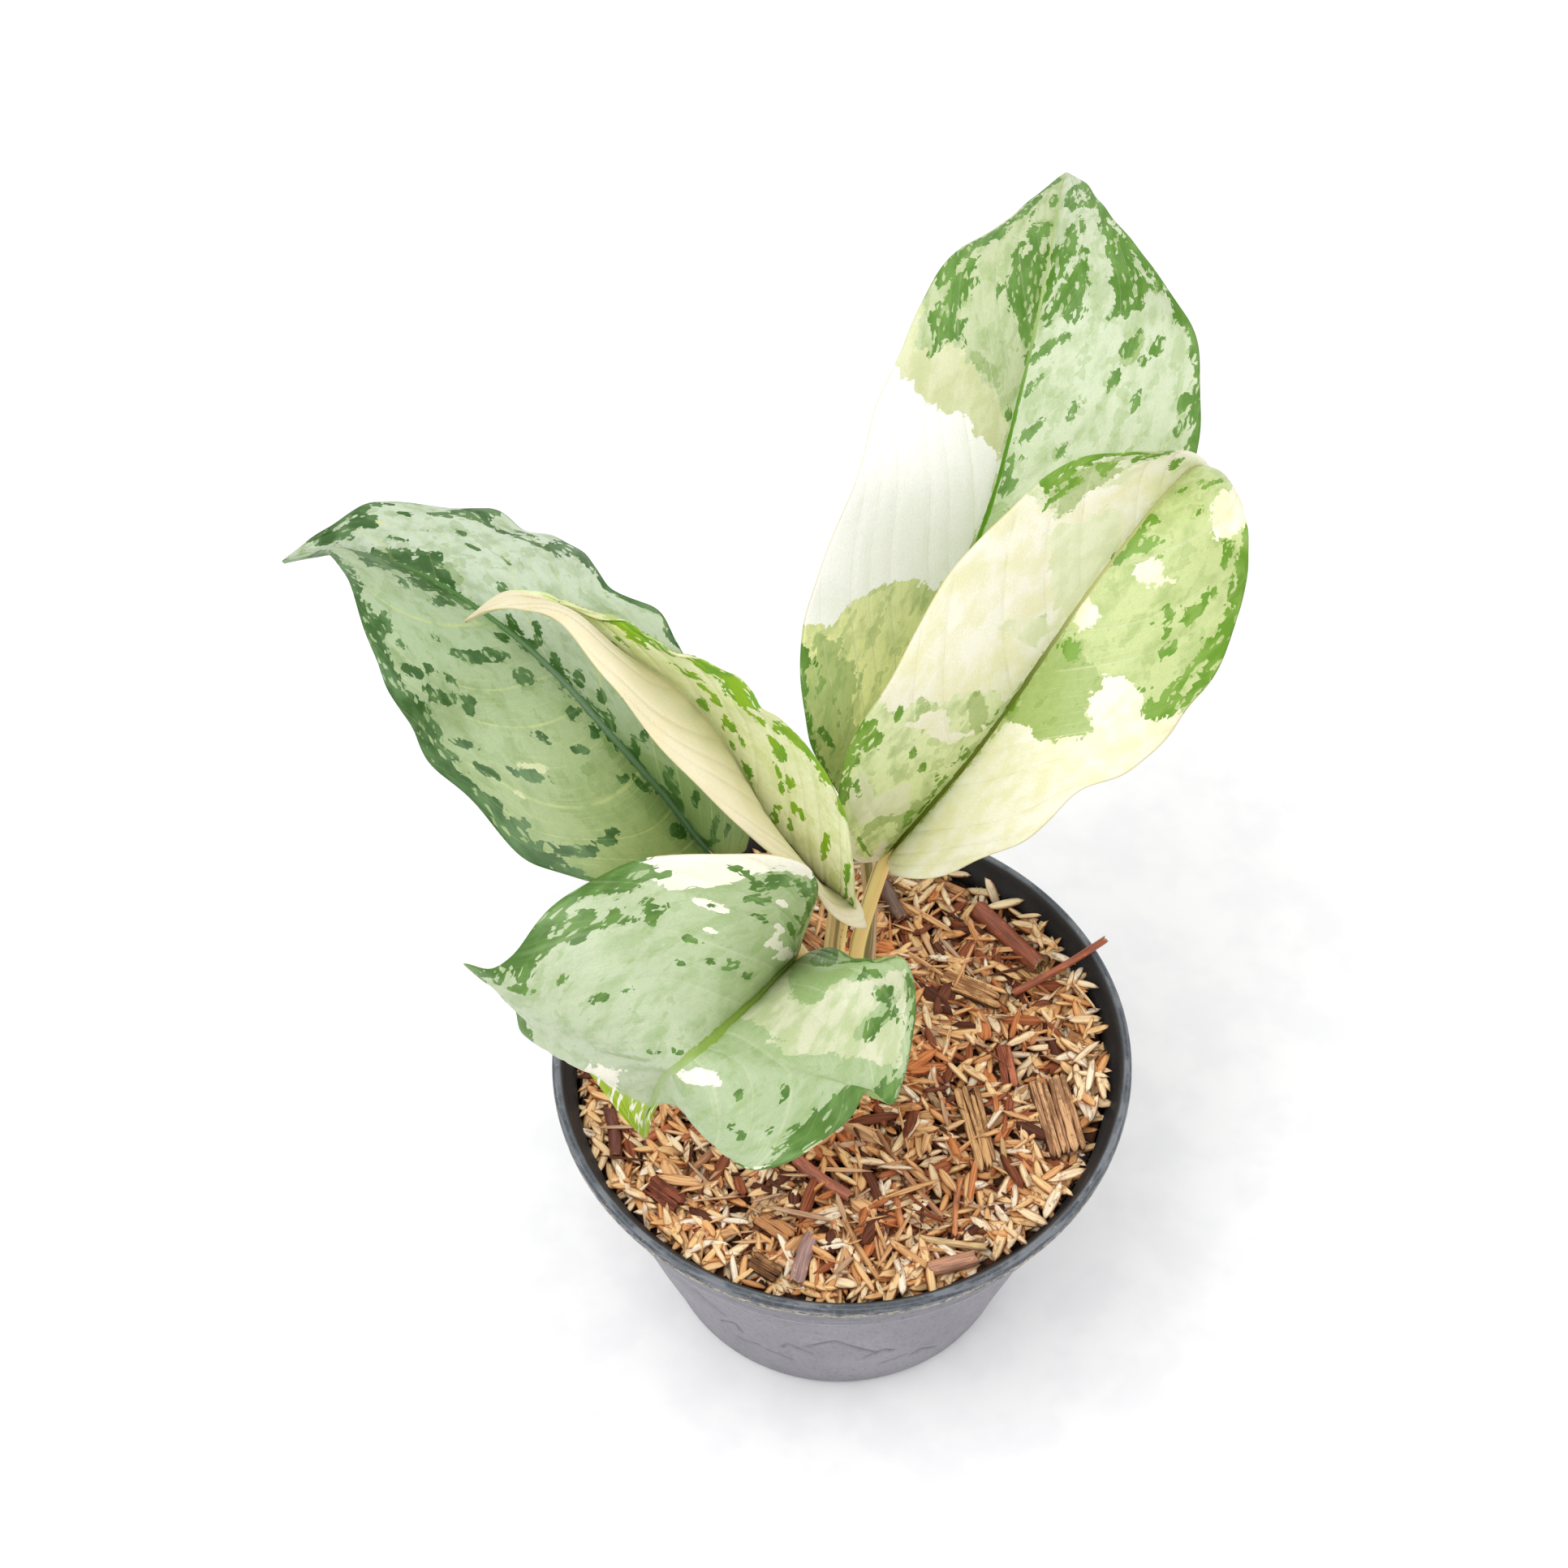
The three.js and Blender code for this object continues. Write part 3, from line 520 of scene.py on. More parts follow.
HUSK_TONES = (
    (176, 108, 66), (234, 174, 112), (252, 212, 152), (255, 230, 186), (255, 244, 222),
)
HUSK_RIB = (182, 138, 96)
HUSK_EDGE = (206, 142, 90)
HUSK_STAIN = (126, 78, 44)
SHRED_TONES = ((98, 56, 38), (160, 90, 58), (222, 140, 84), (244, 192, 136), (214, 176, 144))
SHRED_STRAND = (150, 112, 84)
LITTER = (
    # node, start and end on the ground, width, depth, lift over the mix, rise of the far end
    ("twig_hollow_red", (37, 49), (53, 30), 5.6, 5.6, 2.6, 0),
    ("twig_over_rim", (45.5, 21.5), (70, 33), 2.2, 2.2, 2.2, 9.1),
    ("twig_dark_knob", (12, 57), (17, 45), 4, 4, 1.8, 0),
    ("bark_back_strip", (24, 58), (35, 53), 4.5, 1.8, 1.6, 0),
    ("bark_pale_slab", (26, 27), (43, 19), 6, 2.4, 1.6, 0),
    ("bark_fibre_chunk", (53, -4), (58, -28), 10, 4, 1.9, 0),
    ("bark_rim_chip", (59, 9), (66, 4), 3.4, 2.4, 1.8, 0),
    ("bark_right_chunk", (32, -7), (37, -32), 6, 3, 1.8, 0),
    ("bark_red_chip", (42, 6), (44, -7), 4, 2, 1.6, 0),
    ("twig_red_front", (-12, -29), (2, -40), 3.6, 3.6, 1.8, 0),
    ("twig_thin_long", (9, -20), (25, -45), 1.6, 1.6, 1.4, 0),
    ("twig_orange_short", (13, -36), (15, -50), 2, 2, 1.4, 0),
    ("twig_thin_right", (30, -34), (28, -50), 1.8, 1.8, 1.4, 0),
    ("twig_purple_front", (-8, -51), (-12, -64), 4.2, 4.2, 2, 0),
    ("twig_slant_front", (0, -46), (9, -63), 1.8, 1.8, 1.4, 0),
    ("twig_pale_slant", (18, -51), (36, -53), 2, 2, 1.4, 0),
    ("twig_hollow_log", (21, -60), (33, -56.5), 4.2, 4.2, 2, 0),
    ("bark_front_flake", (-24, -56), (-16, -62), 5, 2, 1.6, 0),
    ("bark_left_flake", (-50, -35), (-41, -42), 6, 2, 1.6, 0),
    ("twig_left_dark", (-58, -27), (-60, -14), 3.4, 3.4, 1.8, 0),
    ("twig_orange_left", (-50, -22), (-42, -17), 2.4, 2.4, 1.6, 0),
    ("twig_left_slant", (-38, -31), (-30, -22), 2.2, 2.2, 1.5, 0),
    ("bark_centre_flake", (-22, -44), (-13, -51), 5, 2, 1.6, 0),
    ("bark_back_chip", (-13, 42), (-3, 33), 6, 2.4, 1.6, 0),
    ("bark_rear_slab", (-44, 38), (-30, 50), 7, 2.6, 1.7, 0),
    ("twig_rear_red", (-52, 12), (-38, 24), 3, 3, 1.7, 0),
)


def litter_distance(x, y):
    """How far points on the ground lie outside the nearest stick or bark piece."""
    nearest = np.full(x.shape, 99.0)
    for _, start, end, width, *_ in LITTER:
        start, end = np.array(start, float), np.array(end, float)
        way = end - start
        share = np.clip(((x - start[0]) * way[0] + (y - start[1]) * way[1]) / (way @ way), 0, 1)
        gap = np.hypot(x - start[0] - share * way[0], y - start[1] - share * way[1]) - width / 2
        nearest = np.minimum(nearest, gap)
    return nearest


def turn_matrices(yaw, pitch, roll):
    """A rotation for each item: rolled about its length, pitched, then turned on the ground."""
    cy, sy, cp, sp, cr, sr = (f(a) for a in (yaw, pitch, roll) for f in (np.cos, np.sin))
    zero, one = np.zeros_like(yaw), np.ones_like(yaw)
    rolled = np.array([[one, zero, zero], [zero, cr, -sr], [zero, sr, cr]])
    pitched = np.array([[cp, zero, sp], [zero, one, zero], [-sp, zero, cp]])
    yawed = np.array([[cy, -sy, zero], [sy, cy, zero], [zero, zero, one]])
    return np.einsum("ijn,jkn,kln->nil", yawed, pitched, rolled)


def scattered(name, shape, sizes, turns, places, tone, finish):
    """Copies of one small shape, each sized, turned and placed, in one piece."""
    template, faces, edges = shape
    shaped = template[None] * sizes[:, None, :]
    moved = np.einsum("nij,nkj->nki", turn_matrices(*turns), shaped) + places[:, None, :]
    count, corners = len(places), len(template)
    every = [face for k in range(count) for face in shifted(faces, k * corners)]
    marks = {"tone": np.repeat(tone, corners), "edge": np.tile(edges, count),
             "grain": np.tile(template * (8, 2, 1), (count, 1)) + np.repeat(places, corners, 0)}
    belongs(solid(name, moved.reshape(-1, 3), every, finish, marks), "potting_mix", "potting_mix")


def boat(rings, section):
    """A pointed boat one unit long and wide: a section of points swept between two tips."""
    points, edges = [(-0.5, 0.0, 0.0)], [0.9]
    for x in np.linspace(-0.5, 0.5, rings + 2)[1:-1]:
        fullness = (1 - abs(2 * x) ** 2.3) ** 0.75
        lean = 0.06 * math.sin(x * 5)
        points += [(x, y * fullness + lean, z * fullness) for y, z in section]
        edges += [abs(y) * 2 for y, z in section]
    points.append((0.5, 0.0, 0.0))
    edges.append(0.9)
    return np.array(points), tube_faces(rings, len(section)), np.array(edges)


def spread(draw, count, reach, inner=0.0):
    """Places spread evenly over the mix, away from the cane."""
    order = np.arange(count) + 0.5
    radius = np.sqrt(inner ** 2 + (reach ** 2 - inner ** 2) * order / count)
    turn = order * math.pi * (3 - math.sqrt(5)) + draw.uniform(-0.6, 0.6, count)
    radius = np.clip(radius + draw.uniform(-1.5, 1.5, count), 0, reach)
    x, y = radius * np.cos(turn), radius * np.sin(turn)
    keep = np.hypot(x - PLANT_PLACE[0], y - PLANT_PLACE[1]) > PLANT_CLEAR
    return x[keep], y[keep]


draw = np.random.default_rng(21)
inner, outer = RIM_RING
everywhere, at_rim = spread(draw, HUSKS, MIX_EDGE), spread(draw, RIM_HUSKS, outer, inner)
x, y = (np.append(*both) for both in zip(everywhere, at_rim))
count = len(x)
over = draw.uniform(0, 1, count)
reach = np.hypot(x, y)
facing = np.clip((x * BANK_SIDE[0] + y * BANK_SIDE[1]) / reach + 0.3, 0, 1)
bank = BANK_HEIGHT * np.clip((reach - BANK_FOOT) / BANK_RUN, 0, 1) * facing
lift = over * (HUSK_LAYER + bank) + HUSK_LOWEST + bank * 0.2
lift = np.where(litter_distance(x, y) < HUSK_CLEAR, HUSK_SUNK, lift)
length = draw.uniform(*HUSK_LENGTHS, count)
husk_sizes = np.stack([length, draw.uniform(*HUSK_WIDTH_SHARES, count) * length,
                       draw.uniform(*HUSK_DEPTHS, count)], 1)
flip = np.where(draw.uniform(0, 1, count) < UPSIDE_DOWN, math.pi, 0)
husk_turns = (draw.uniform(0, math.tau, count), draw.normal(0, HUSK_PITCH, count),
              draw.normal(0, HUSK_ROLL, count) + flip)

husk_skin = Finish("husk_skin", roughness=0.5, specular=0.35)
own = husk_skin.mark("grain", "Vector")
ribs = husk_skin.cloud(own, (6.0, 0.22, 0.5), detail=2)
stain = husk_skin.cloud(own, (2.0, 1.2, 1.2), detail=3, shift=7.0)
colour = husk_skin.tones(husk_skin.mark("tone"), HUSK_TONES, step=0.24, reach=0.24)
colour = husk_skin.shade(husk_skin.rise(ribs, 0.48, 0.62, 0.38), colour, HUSK_RIB)
at_edge = husk_skin.rise(husk_skin.mark("edge"), 0.55, 1.0, 0.8)
colour = husk_skin.shade(at_edge, colour, HUSK_EDGE)
colour = husk_skin.blend(husk_skin.rise(stain, 0.56, 0.72, 0.7), colour, HUSK_STAIN)
husk_skin.bump(ribs, 0.00012, 0.6)
husk_skin.done(colour)
scattered("rice_husks", boat(HUSK_RINGS, HUSK_SECTION), husk_sizes, husk_turns,
          np.stack([x, y, mix_height(x, y) + lift], 1), draw.beta(2.4, 1.8, count), husk_skin)

shred_skin = Finish("shred_skin", roughness=0.7, specular=0.25)
strands = shred_skin.cloud(shred_skin.mark("grain", "Vector"), (9.0, 0.3, 0.6), detail=3)
colour = shred_skin.tones(shred_skin.mark("tone"), SHRED_TONES, step=0.25, reach=0.2)
colour = shred_skin.shade(shred_skin.rise(strands, 0.45, 0.6, 0.6), colour, SHRED_STRAND)
shred_skin.bump(strands, 0.0002, 0.7)
shred_skin.done(colour)
shred_shape = boat(SHRED_RINGS, SHRED_SECTION)
for name, amount, lengths, widths, depths, lifts, tones in SHREDS:
    x, y = spread(draw, amount, SHRED_REACH - lengths[1] / 4)
    count = len(x)
    lift = draw.uniform(*lifts, count)
    lift = np.where(litter_distance(x, y) < SHRED_CLEAR, SHRED_SUNK, lift)
    sizes = np.stack([draw.uniform(*size, count) for size in (lengths, widths, depths)], 1)
    turns = (draw.uniform(0, math.tau, count), draw.normal(0, SHRED_PITCH, count),
             draw.uniform(-SHRED_ROLL, SHRED_ROLL, count))
    places = np.stack([x, y, mix_height(x, y) + lift], 1)
    scattered(name, shred_shape, sizes, turns, places, draw.uniform(*tones, count), shred_skin)


# Sticks. Cut lengths of dry twig and reed lie on the husks, some with an open pith at the cut
# and one with its end on the pot's rim.
STICK_SIDES = 20
STICK_RINGS = 22
STICK_SEED = 40
STICK_LOOKS = {
    # bark colour, colour of the cut wood, bend, knots, how deep the pith is open
    "twig_hollow_red": ((169, 93, 68), (216, 168, 110), 0.0, 0.03, 2.6),
    "twig_over_rim": ((186, 101, 68), (194, 134, 87), 0.6, 0.05, 0.3),
    "twig_dark_knob": ((130, 101, 87), (165, 123, 90), 0.4, 0.16, 0.6),
    "twig_red_front": ((195, 116, 90), (205, 146, 97), 0.6, 0.06, 0.5),
    "twig_thin_long": ((220, 156, 114), (220, 168, 126), 0.9, 0.08, 0.2),
    "twig_orange_short": ((239, 151, 95), (235, 168, 115), 0.2, 0.05, 0.3),
    "twig_thin_right": ((227, 146, 95), (220, 157, 103), 0.5, 0.06, 0.2),
    "twig_purple_front": ((186, 146, 139), (224, 179, 133), 0.3, 0.08, 0.5),
    "twig_slant_front": ((232, 171, 114), (227, 168, 115), 0.5, 0.08, 0.2),
    "twig_pale_slant": ((250, 212, 155), (235, 190, 140), 0.3, 0.05, 0.2),
    "twig_hollow_log": ((216, 156, 125), (123, 83, 57), 0.0, 0.06, 2.4),
    "twig_left_dark": ((118, 62, 46), (150, 96, 64), 0.4, 0.08, 0.4),
    "twig_orange_left": ((220, 126, 79), (220, 143, 92), 0.2, 0.06, 0.3),
    "twig_left_slant": ((200, 141, 103), (209, 157, 110), 0.3, 0.08, 0.3),
    "twig_rear_red": ((167, 96, 73), (198, 134, 92), 0.3, 0.06, 0.4),
}


def litter_frame(start, end, lift, rise):
    """Ends of a piece on the mix and its three directions: across, along and up."""
    foot = np.array([*start, mix_height(*start) + lift])
    head = np.array([*end, mix_height(*end) + lift + rise])
    along = (head - foot) / np.linalg.norm(head - foot)
    across = np.cross(along, (0, 0, 1))
    across /= np.linalg.norm(across)
    return foot, head, across, along, np.cross(across, along)


def stick(start, end, width, lift, rise, bend, knots, pith, seed):
    """A round stick with a little bend and taper, knots, and a hollow at each cut end."""
    foot, head, across, along, up = litter_frame(start, end, lift, rise)
    length = np.linalg.norm(head - foot)
    phase = np.random.default_rng(seed).uniform(0, 6.28, 4)
    turns = np.arange(STICK_SIDES) / STICK_SIDES * math.tau
    wall = min(0.9, width * 0.2) / width
    ends = [(pith, 0.32), (pith * 0.9, 0.5 - wall), (0.05, 0.5 - wall * 0.8), (0.0, 0.47)]
    rows = [(depth / length, size) for depth, size in ends]
    rows += [(share, 0.5) for share in 0.02 + np.linspace(0, 1, STICK_RINGS) * 0.96]
    rows += [(1 - depth / length, size) for depth, size in reversed(ends)]
    knot_places = (0.3 + phase[0] / 60, 0.78)
    pith_reach = (head - foot) * pith / length
    points, skin = [foot + pith_reach], [(0.0, 0.0, 1.0)]
    for share, size in rows:
        middle = foot + (head - foot) * share + across * bend * math.sin(share * math.pi)
        taper = 1 - 0.12 * share
        knot = sum(math.exp(-((share - k) * length / (width * 0.5)) ** 2) for k in knot_places)
        torn = 0.35 * (share < 0.03 or share > 0.97) * (size > 0.4)
        for turn in turns:
            uneven = 1 + knots * (math.sin(turn * 2 + phase[1] + share * 3) * 0.6 + knot * 0.9)
            out = (across * math.cos(turn) + up * math.sin(turn)) * size * width * taper * uneven
            points.append(middle + out + along * torn * math.sin(turn * 3 + phase[2]))
            skin.append((share * length, turn * width / 2, 0.0 if size >= 0.5 else 1.0))
    points.append(head - pith_reach)
    skin.append((length, 0.0, 1.0))
    faces = tube_faces(len(rows), STICK_SIDES, inside_out=True)
    return points, faces, dict(zip(("along", "round", "cut"), np.array(skin).T))


def stick_finish(name, bark, wood):
    """Thin smooth bark with lengthwise streaks and pores, and pale fibrous wood at the cuts."""
    twig = Finish(name, roughness=0.36, specular=0.5)
    place = twig.marks("along", "round", "cut")
    streak = twig.cloud(place, (9.0, 0.5, 1.0), detail=4)
    scuff = twig.cloud(place, (3.0, 1.6, 1.0), detail=4, shift=5.0)
    colour = twig.blend(twig.rise(streak, 0.35, 0.65), tinted(bark, 0.72), bark)
    colour = twig.blend(twig.rise(scuff, 0.58, 0.7, 0.5), colour, tinted(bark, (1.4, 1.3, 1.1)))
    grain = twig.cloud(twig.place(), (0.0007, 0.0007, 0.0007), detail=3)
    cut_wood = twig.blend(twig.rise(grain, 0.4, 0.62), tinted(wood, 0.5), wood)
    twig.bump(twig.sum(streak, grain), 0.00015, 0.7)
    return twig.done(twig.blend(twig.mark("cut"), colour, cut_wood))


def litter_piece(name, mesh, finish, slot, sharp):
    """One stick or slab in place of its plain node, its corners sharp from a given angle."""
    points, faces, marks = mesh
    piece = solid(name + "_piece", points, faces, finish, marks)
    piece.data.set_sharp_from_angle(angle=math.radians(sharp))
    belongs(piece, slot, name)


for order, (name, start, end, width, _, lift, rise) in enumerate(LITTER):
    if name in STICK_LOOKS:
        bark, wood, *form = STICK_LOOKS[name]
        mesh = stick(start, end, width, lift, rise, *form, seed=STICK_SEED + order)
        litter_piece(name, mesh, stick_finish(name + "_bark", bark, wood), "twigs", sharp=45)


# Bark. Torn slabs of old wood and bark, split along the fibre into slats with broken ends,
# lie flat among the husks.
SLAT_ROWS = 36
SLAT_SIDES = 18
SLAB_SEED = 90
SLAB_LOOKS = {
    # light fibre, dark fibre, how many slats, how uneven their widths and ends are
    "bark_back_strip": ((220, 160, 115), (125, 83, 58), 3, 0.4),
    "bark_pale_slab": ((249, 201, 144), (152, 101, 65), 4, 0.6),
    "bark_fibre_chunk": ((237, 187, 139), (143, 99, 70), 6, 0.5),
    "bark_rim_chip": ((250, 196, 137), (168, 113, 72), 2, 0.5),
    "bark_right_chunk": ((233, 185, 130), (148, 103, 67), 4, 0.7),
    "bark_red_chip": ((208, 128, 96), (132, 71, 50), 2, 0.6),
    "bark_front_flake": ((176, 128, 84), (98, 64, 42), 3, 0.6),
    "bark_left_flake": ((150, 84, 62), (86, 46, 34), 3, 0.6),
    "bark_centre_flake": ((206, 146, 98), (119, 78, 50), 3, 0.6),
    "bark_back_chip": ((213, 155, 108), (119, 78, 50), 3, 0.6),
    "bark_rear_slab": ((224, 171, 122), (123, 83, 55), 4, 0.5),
}


def slab(start, end, width, depth, lift, rise, slats, uneven, seed):
    """A slab of slats side by side, each with its own width, height and broken ends."""
    foot, head, across, along, up = litter_frame(start, end, lift, rise)
    length = np.linalg.norm(head - foot)
    draw = np.random.default_rng(seed)
    widths = draw.uniform(1 - uneven, 1 + uneven, slats)
    widths *= width / widths.sum()
    middles = np.cumsum(widths) - widths / 2 - width / 2
    points, faces, marks = [], [], []
    for own, slat_middle in zip(widths, middles):
        first, last = draw.uniform(0, 0.13 * uneven + 0.03, 2)
        tall, tone = draw.uniform(0.36, 0.54), draw.uniform(0, 1)
        lean, phase = draw.normal(0, 0.03), draw.uniform(0, 90)
        slat_faces = tube_faces(SLAT_ROWS + 1, SLAT_SIDES, tips=False, inside_out=True)
        faces += shifted(slat_faces, len(points))
        for share in np.arange(SLAT_ROWS + 1) / SLAT_ROWS:
            place = (first + (1 - first - last) * share - 0.5) * length
            thin = min(1.0, share / 0.07 + 0.25, (1 - share) / 0.07 + 0.25) ** 0.6
            drift = 0.16 * own * noise.noise(Vector((share * 4, phase, 0))) + lean * place
            end_tear = 0.03 * length * (abs(share - 0.5) > 0.44)
            for side in range(SLAT_SIDES):
                turn = side / SLAT_SIDES * math.tau
                out, high = (math.copysign(abs(f(turn)) ** 0.6, f(turn))
                             for f in (math.cos, math.sin))
                torn = thin * (1 + 0.14 * noise.noise(Vector((share * 5, side * 1.7, phase))))
                torn_end = end_tear * noise.noise(Vector((side * 2.1, phase, share * 2)))
                a = slat_middle + drift + out * own * 0.53 * torn
                points.append((foot + head) / 2 + along * (place + torn_end) + across * a
                              + up * high * depth * tall * torn)
                # the split mark: the sides of the slat, which take painted shade in the splits
                marks.append((abs(out) ** 3 * 0.9 if high < 0.75 else 0.0, place, a, tone))
    return points, faces, dict(zip(("split", "along", "side", "tone"), np.array(marks).T))


def slab_finish(name, light, dark):
    """Dry torn wood: pale fibres over brown, soiled in places, with painted shade in every split.
    """
    wood = Finish(name, roughness=0.8, specular=0.2)
    fibre = wood.cloud(wood.marks("along", "side", "tone"), (8.0, 0.4, 1.0), detail=5, rough=0.65)
    soil = wood.cloud(wood.place(), (0.005, 0.005, 0.005), detail=5, rough=0.65, shift=2.0)
    own_tone = wood.times(wood.work("SUBTRACT", wood.mark("tone"), 0.5), 0.16)
    colour = wood.blend(wood.rise(wood.sum(fibre, own_tone), 0.38, 0.58), dark, light)
    colour = wood.blend(wood.rise(soil, 0.5, 0.6, 0.65), colour, tinted(dark, 0.95))
    # painted shade on the sides of the slats, down in every split
    split = wood.rise(wood.mark("split"), 0.2, 0.9, 0.85)
    wood.bump(fibre, 0.0004, 0.9)
    return wood.done(wood.blend(split, colour, tinted(dark, 0.45)))


for order, (name, *sizes) in enumerate(LITTER):
    if name in SLAB_LOOKS:
        light, dark, *form = SLAB_LOOKS[name]
        mesh = slab(*sizes, *form, seed=SLAB_SEED + order)
        litter_piece(name, mesh, slab_finish(name + "_wood", light, dark), "bark", sharp=55)


# Cane. The short brown stem of the plant, ringed where old leaves fell, stands in the mix and
# carries the leaf stalks at its crown.
CANE_RADIUS = 5.6
CANE_TIP_RADIUS = 2.6
CANE_BOTTOM = 62.0
CANE_NECK = 98.0
CANE_TOP = 106.0
CANE_RINGS = (72, 86, 92, 98)
CANE_BROWN = (126, 104, 66)
CANE_GREEN = (140, 146, 84)
CANE_FLAKES = (150, 120, 92)

cane_line = [(0.0, CANE_BOTTOM), (CANE_RADIUS - 1.2, CANE_BOTTOM)]
for level in np.arange(CANE_BOTTOM + 1, CANE_TOP - 1.9, 0.8):
    scar = 0.4 * sum(math.exp(-((level - ring) / 0.7) ** 2) for ring in CANE_RINGS)
    narrow = 1.1 * max(0.0, (level - CANE_NECK) / 6) + 0.02 * (level - CANE_BOTTOM)
    cane_line.append((CANE_RADIUS - 0.6 + scar - narrow, level))
cane_line += [(CANE_TIP_RADIUS, CANE_TOP), (0.0, CANE_TOP)]
cane_points, cane_faces = turned(np.array(cane_line), 48)
cane_points[:, :2] += PLANT_PLACE

cane_skin = Finish("cane_skin", roughness=0.6, specular=0.3)
rings = cane_skin.cloud(cane_skin.place(), (0.006, 0.006, 0.0012), detail=4)
flakes = cane_skin.cloud(cane_skin.place(), (0.0015, 0.0015, 0.004), detail=4, shift=4.0)
colour = cane_skin.blend(cane_skin.rise(rings, 0.4, 0.6), CANE_BROWN, CANE_GREEN)
cane_skin.bump(rings, 0.0005, 0.6)
cane_skin.done(cane_skin.shade(cane_skin.rise(flakes, 0.5, 0.66, 0.7), colour, CANE_FLAKES))
belongs(solid("cane", cane_points, cane_faces, cane_skin), "cane", "stem")


# Leaf blades. Each leaf is one soft blade, folded along its midrib, with side veins that run
# out to the margin and turn towards the tip. It is drawn through stations from base to tip:
# the midrib, the left margin and the right margin, in millimetres, its upper side up.
BLADE_ROWS = 220
BLADE_HALF_COLUMNS = 42
BLADE_THICK = 0.5
BASE_HALF_WIDTH = 1.6
TIP_HALF_WIDTH = 0.4
MARGIN_WAVE = 0.3
# depth or height, and half width: dents and crest on the upper side, keels on the underside
VEIN_DENT = (0.30, 1.1)
RIB_DENT = (0.55, 2.6)
RIB_CREST = (0.30, 0.9)
RIB_KEEL = (1.5, 2.1)
VEIN_KEEL = (0.22, 0.7)
# how far inside or outside of a patch its marks tell, in millimetres
MARK_REACH = 30.0
LEAF_CLOUDING = (238, 243, 230)
LEAF_BLOOM = (236, 240, 226)
CREAM_VEIN = (226, 222, 190)
CREAM_RIM = (214, 196, 130)


def smooth_line(points, shares):
    """Places at the given shares of a smooth line through the points."""
    points = np.array(points, float)
    points = np.vstack([2 * points[0] - points[1], points, 2 * points[-1] - points[-2]])
    spans = len(points) - 3
    reach = np.clip(np.asarray(shares, float), 0, 1) * spans
    span = np.minimum(reach.astype(int), spans - 1)
    f = (reach - span)[:, None]
    a, b, c, d = (points[span + k] for k in range(4))
    bend, turn = 2 * a - 5 * b + 4 * c - d, 3 * b - a - 3 * c + d
    return 0.5 * (2 * b + (c - a) * f + bend * f ** 2 + turn * f ** 3)


def unit(vectors):
    return vectors / np.maximum(np.linalg.norm(vectors, axis=-1, keepdims=True), 1e-9)


def hump(gap, height, half_width, taper=1.0):
    """A soft ridge of a given height and half width."""
    return height * taper * np.exp(-(gap / (half_width * taper)) ** 2)


def blade_rails(stations, shares):
    """The three long curves of a blade: midrib, left margin and right margin."""
    rows = [[np.array(point, float) for point in row] for row in stations]
    for end, near, half_width in ((0, 1, BASE_HALF_WIDTH), (-1, -2, TIP_HALF_WIDTH)):
        side = unit(rows[near][2] - rows[near][1]) * half_width
        rows[end] += [rows[end][0] - side, rows[end][0] + side]
    return [smooth_line([row[rail] for row in rows], shares) for rail in range(3)]


def outline_reach(x, y, corners):
    """How far points lie inside a closed outline, negative outside."""
    near = np.full(x.shape, 1e9)
    inside = np.zeros(x.shape, bool)
    for (ax, ay), (bx, by) in zip(corners, np.roll(corners, -1, axis=0)):
        wx, wy = bx - ax, by - ay
        share = np.clip(((x - ax) * wx + (y - ay) * wy) / max(wx * wx + wy * wy, 1e-9), 0, 1)
        near = np.minimum(near, np.hypot(x - ax - share * wx, y - ay - share * wy))
        if wy:
            inside ^= ((ay > y) != (by > y)) & (x < ax + wx * (y - ay) / wy)
    return np.where(inside, near, -near)


def tone_reach(across, along, flow, width, length, outlines, spots, gaps):
    """How far points lie inside the patches of one tone, in millimetres. Outlines, spots and
    gaps are in hundredths of the half width and of the length; spots lean with the side veins."""
    def inside(outline):
        corners = np.array(outline, float) / 100 * (width, length)
        return outline_reach(across * width, along * length, corners)

    reach = np.full(across.shape, -MARK_REACH)
    for outline in outlines:
        reach = np.maximum(reach, inside(outline))
    steepest = 1.1 * width / length
    for middle, level, half_across, half_along in spots:
        beside = (flow(np.array(middle / 100 + step)) for step in (0.05, -0.05))
        lean = np.clip(np.subtract(*beside) / 0.1, -steepest, steepest)
        a = (across - middle / 100) * 100 / half_across
        b = (along - level / 100 - lean * (across - middle / 100)) * 100 / half_along
        size = min(half_across / 100 * width, half_along / 100 * length)
        reach = np.maximum(reach, (1 - np.hypot(a, b)) * max(size, 1.1) * 1.5)
    for outline in gaps:
        reach = np.minimum(reach, -inside(outline))
    return np.clip(reach, -MARK_REACH, MARK_REACH)


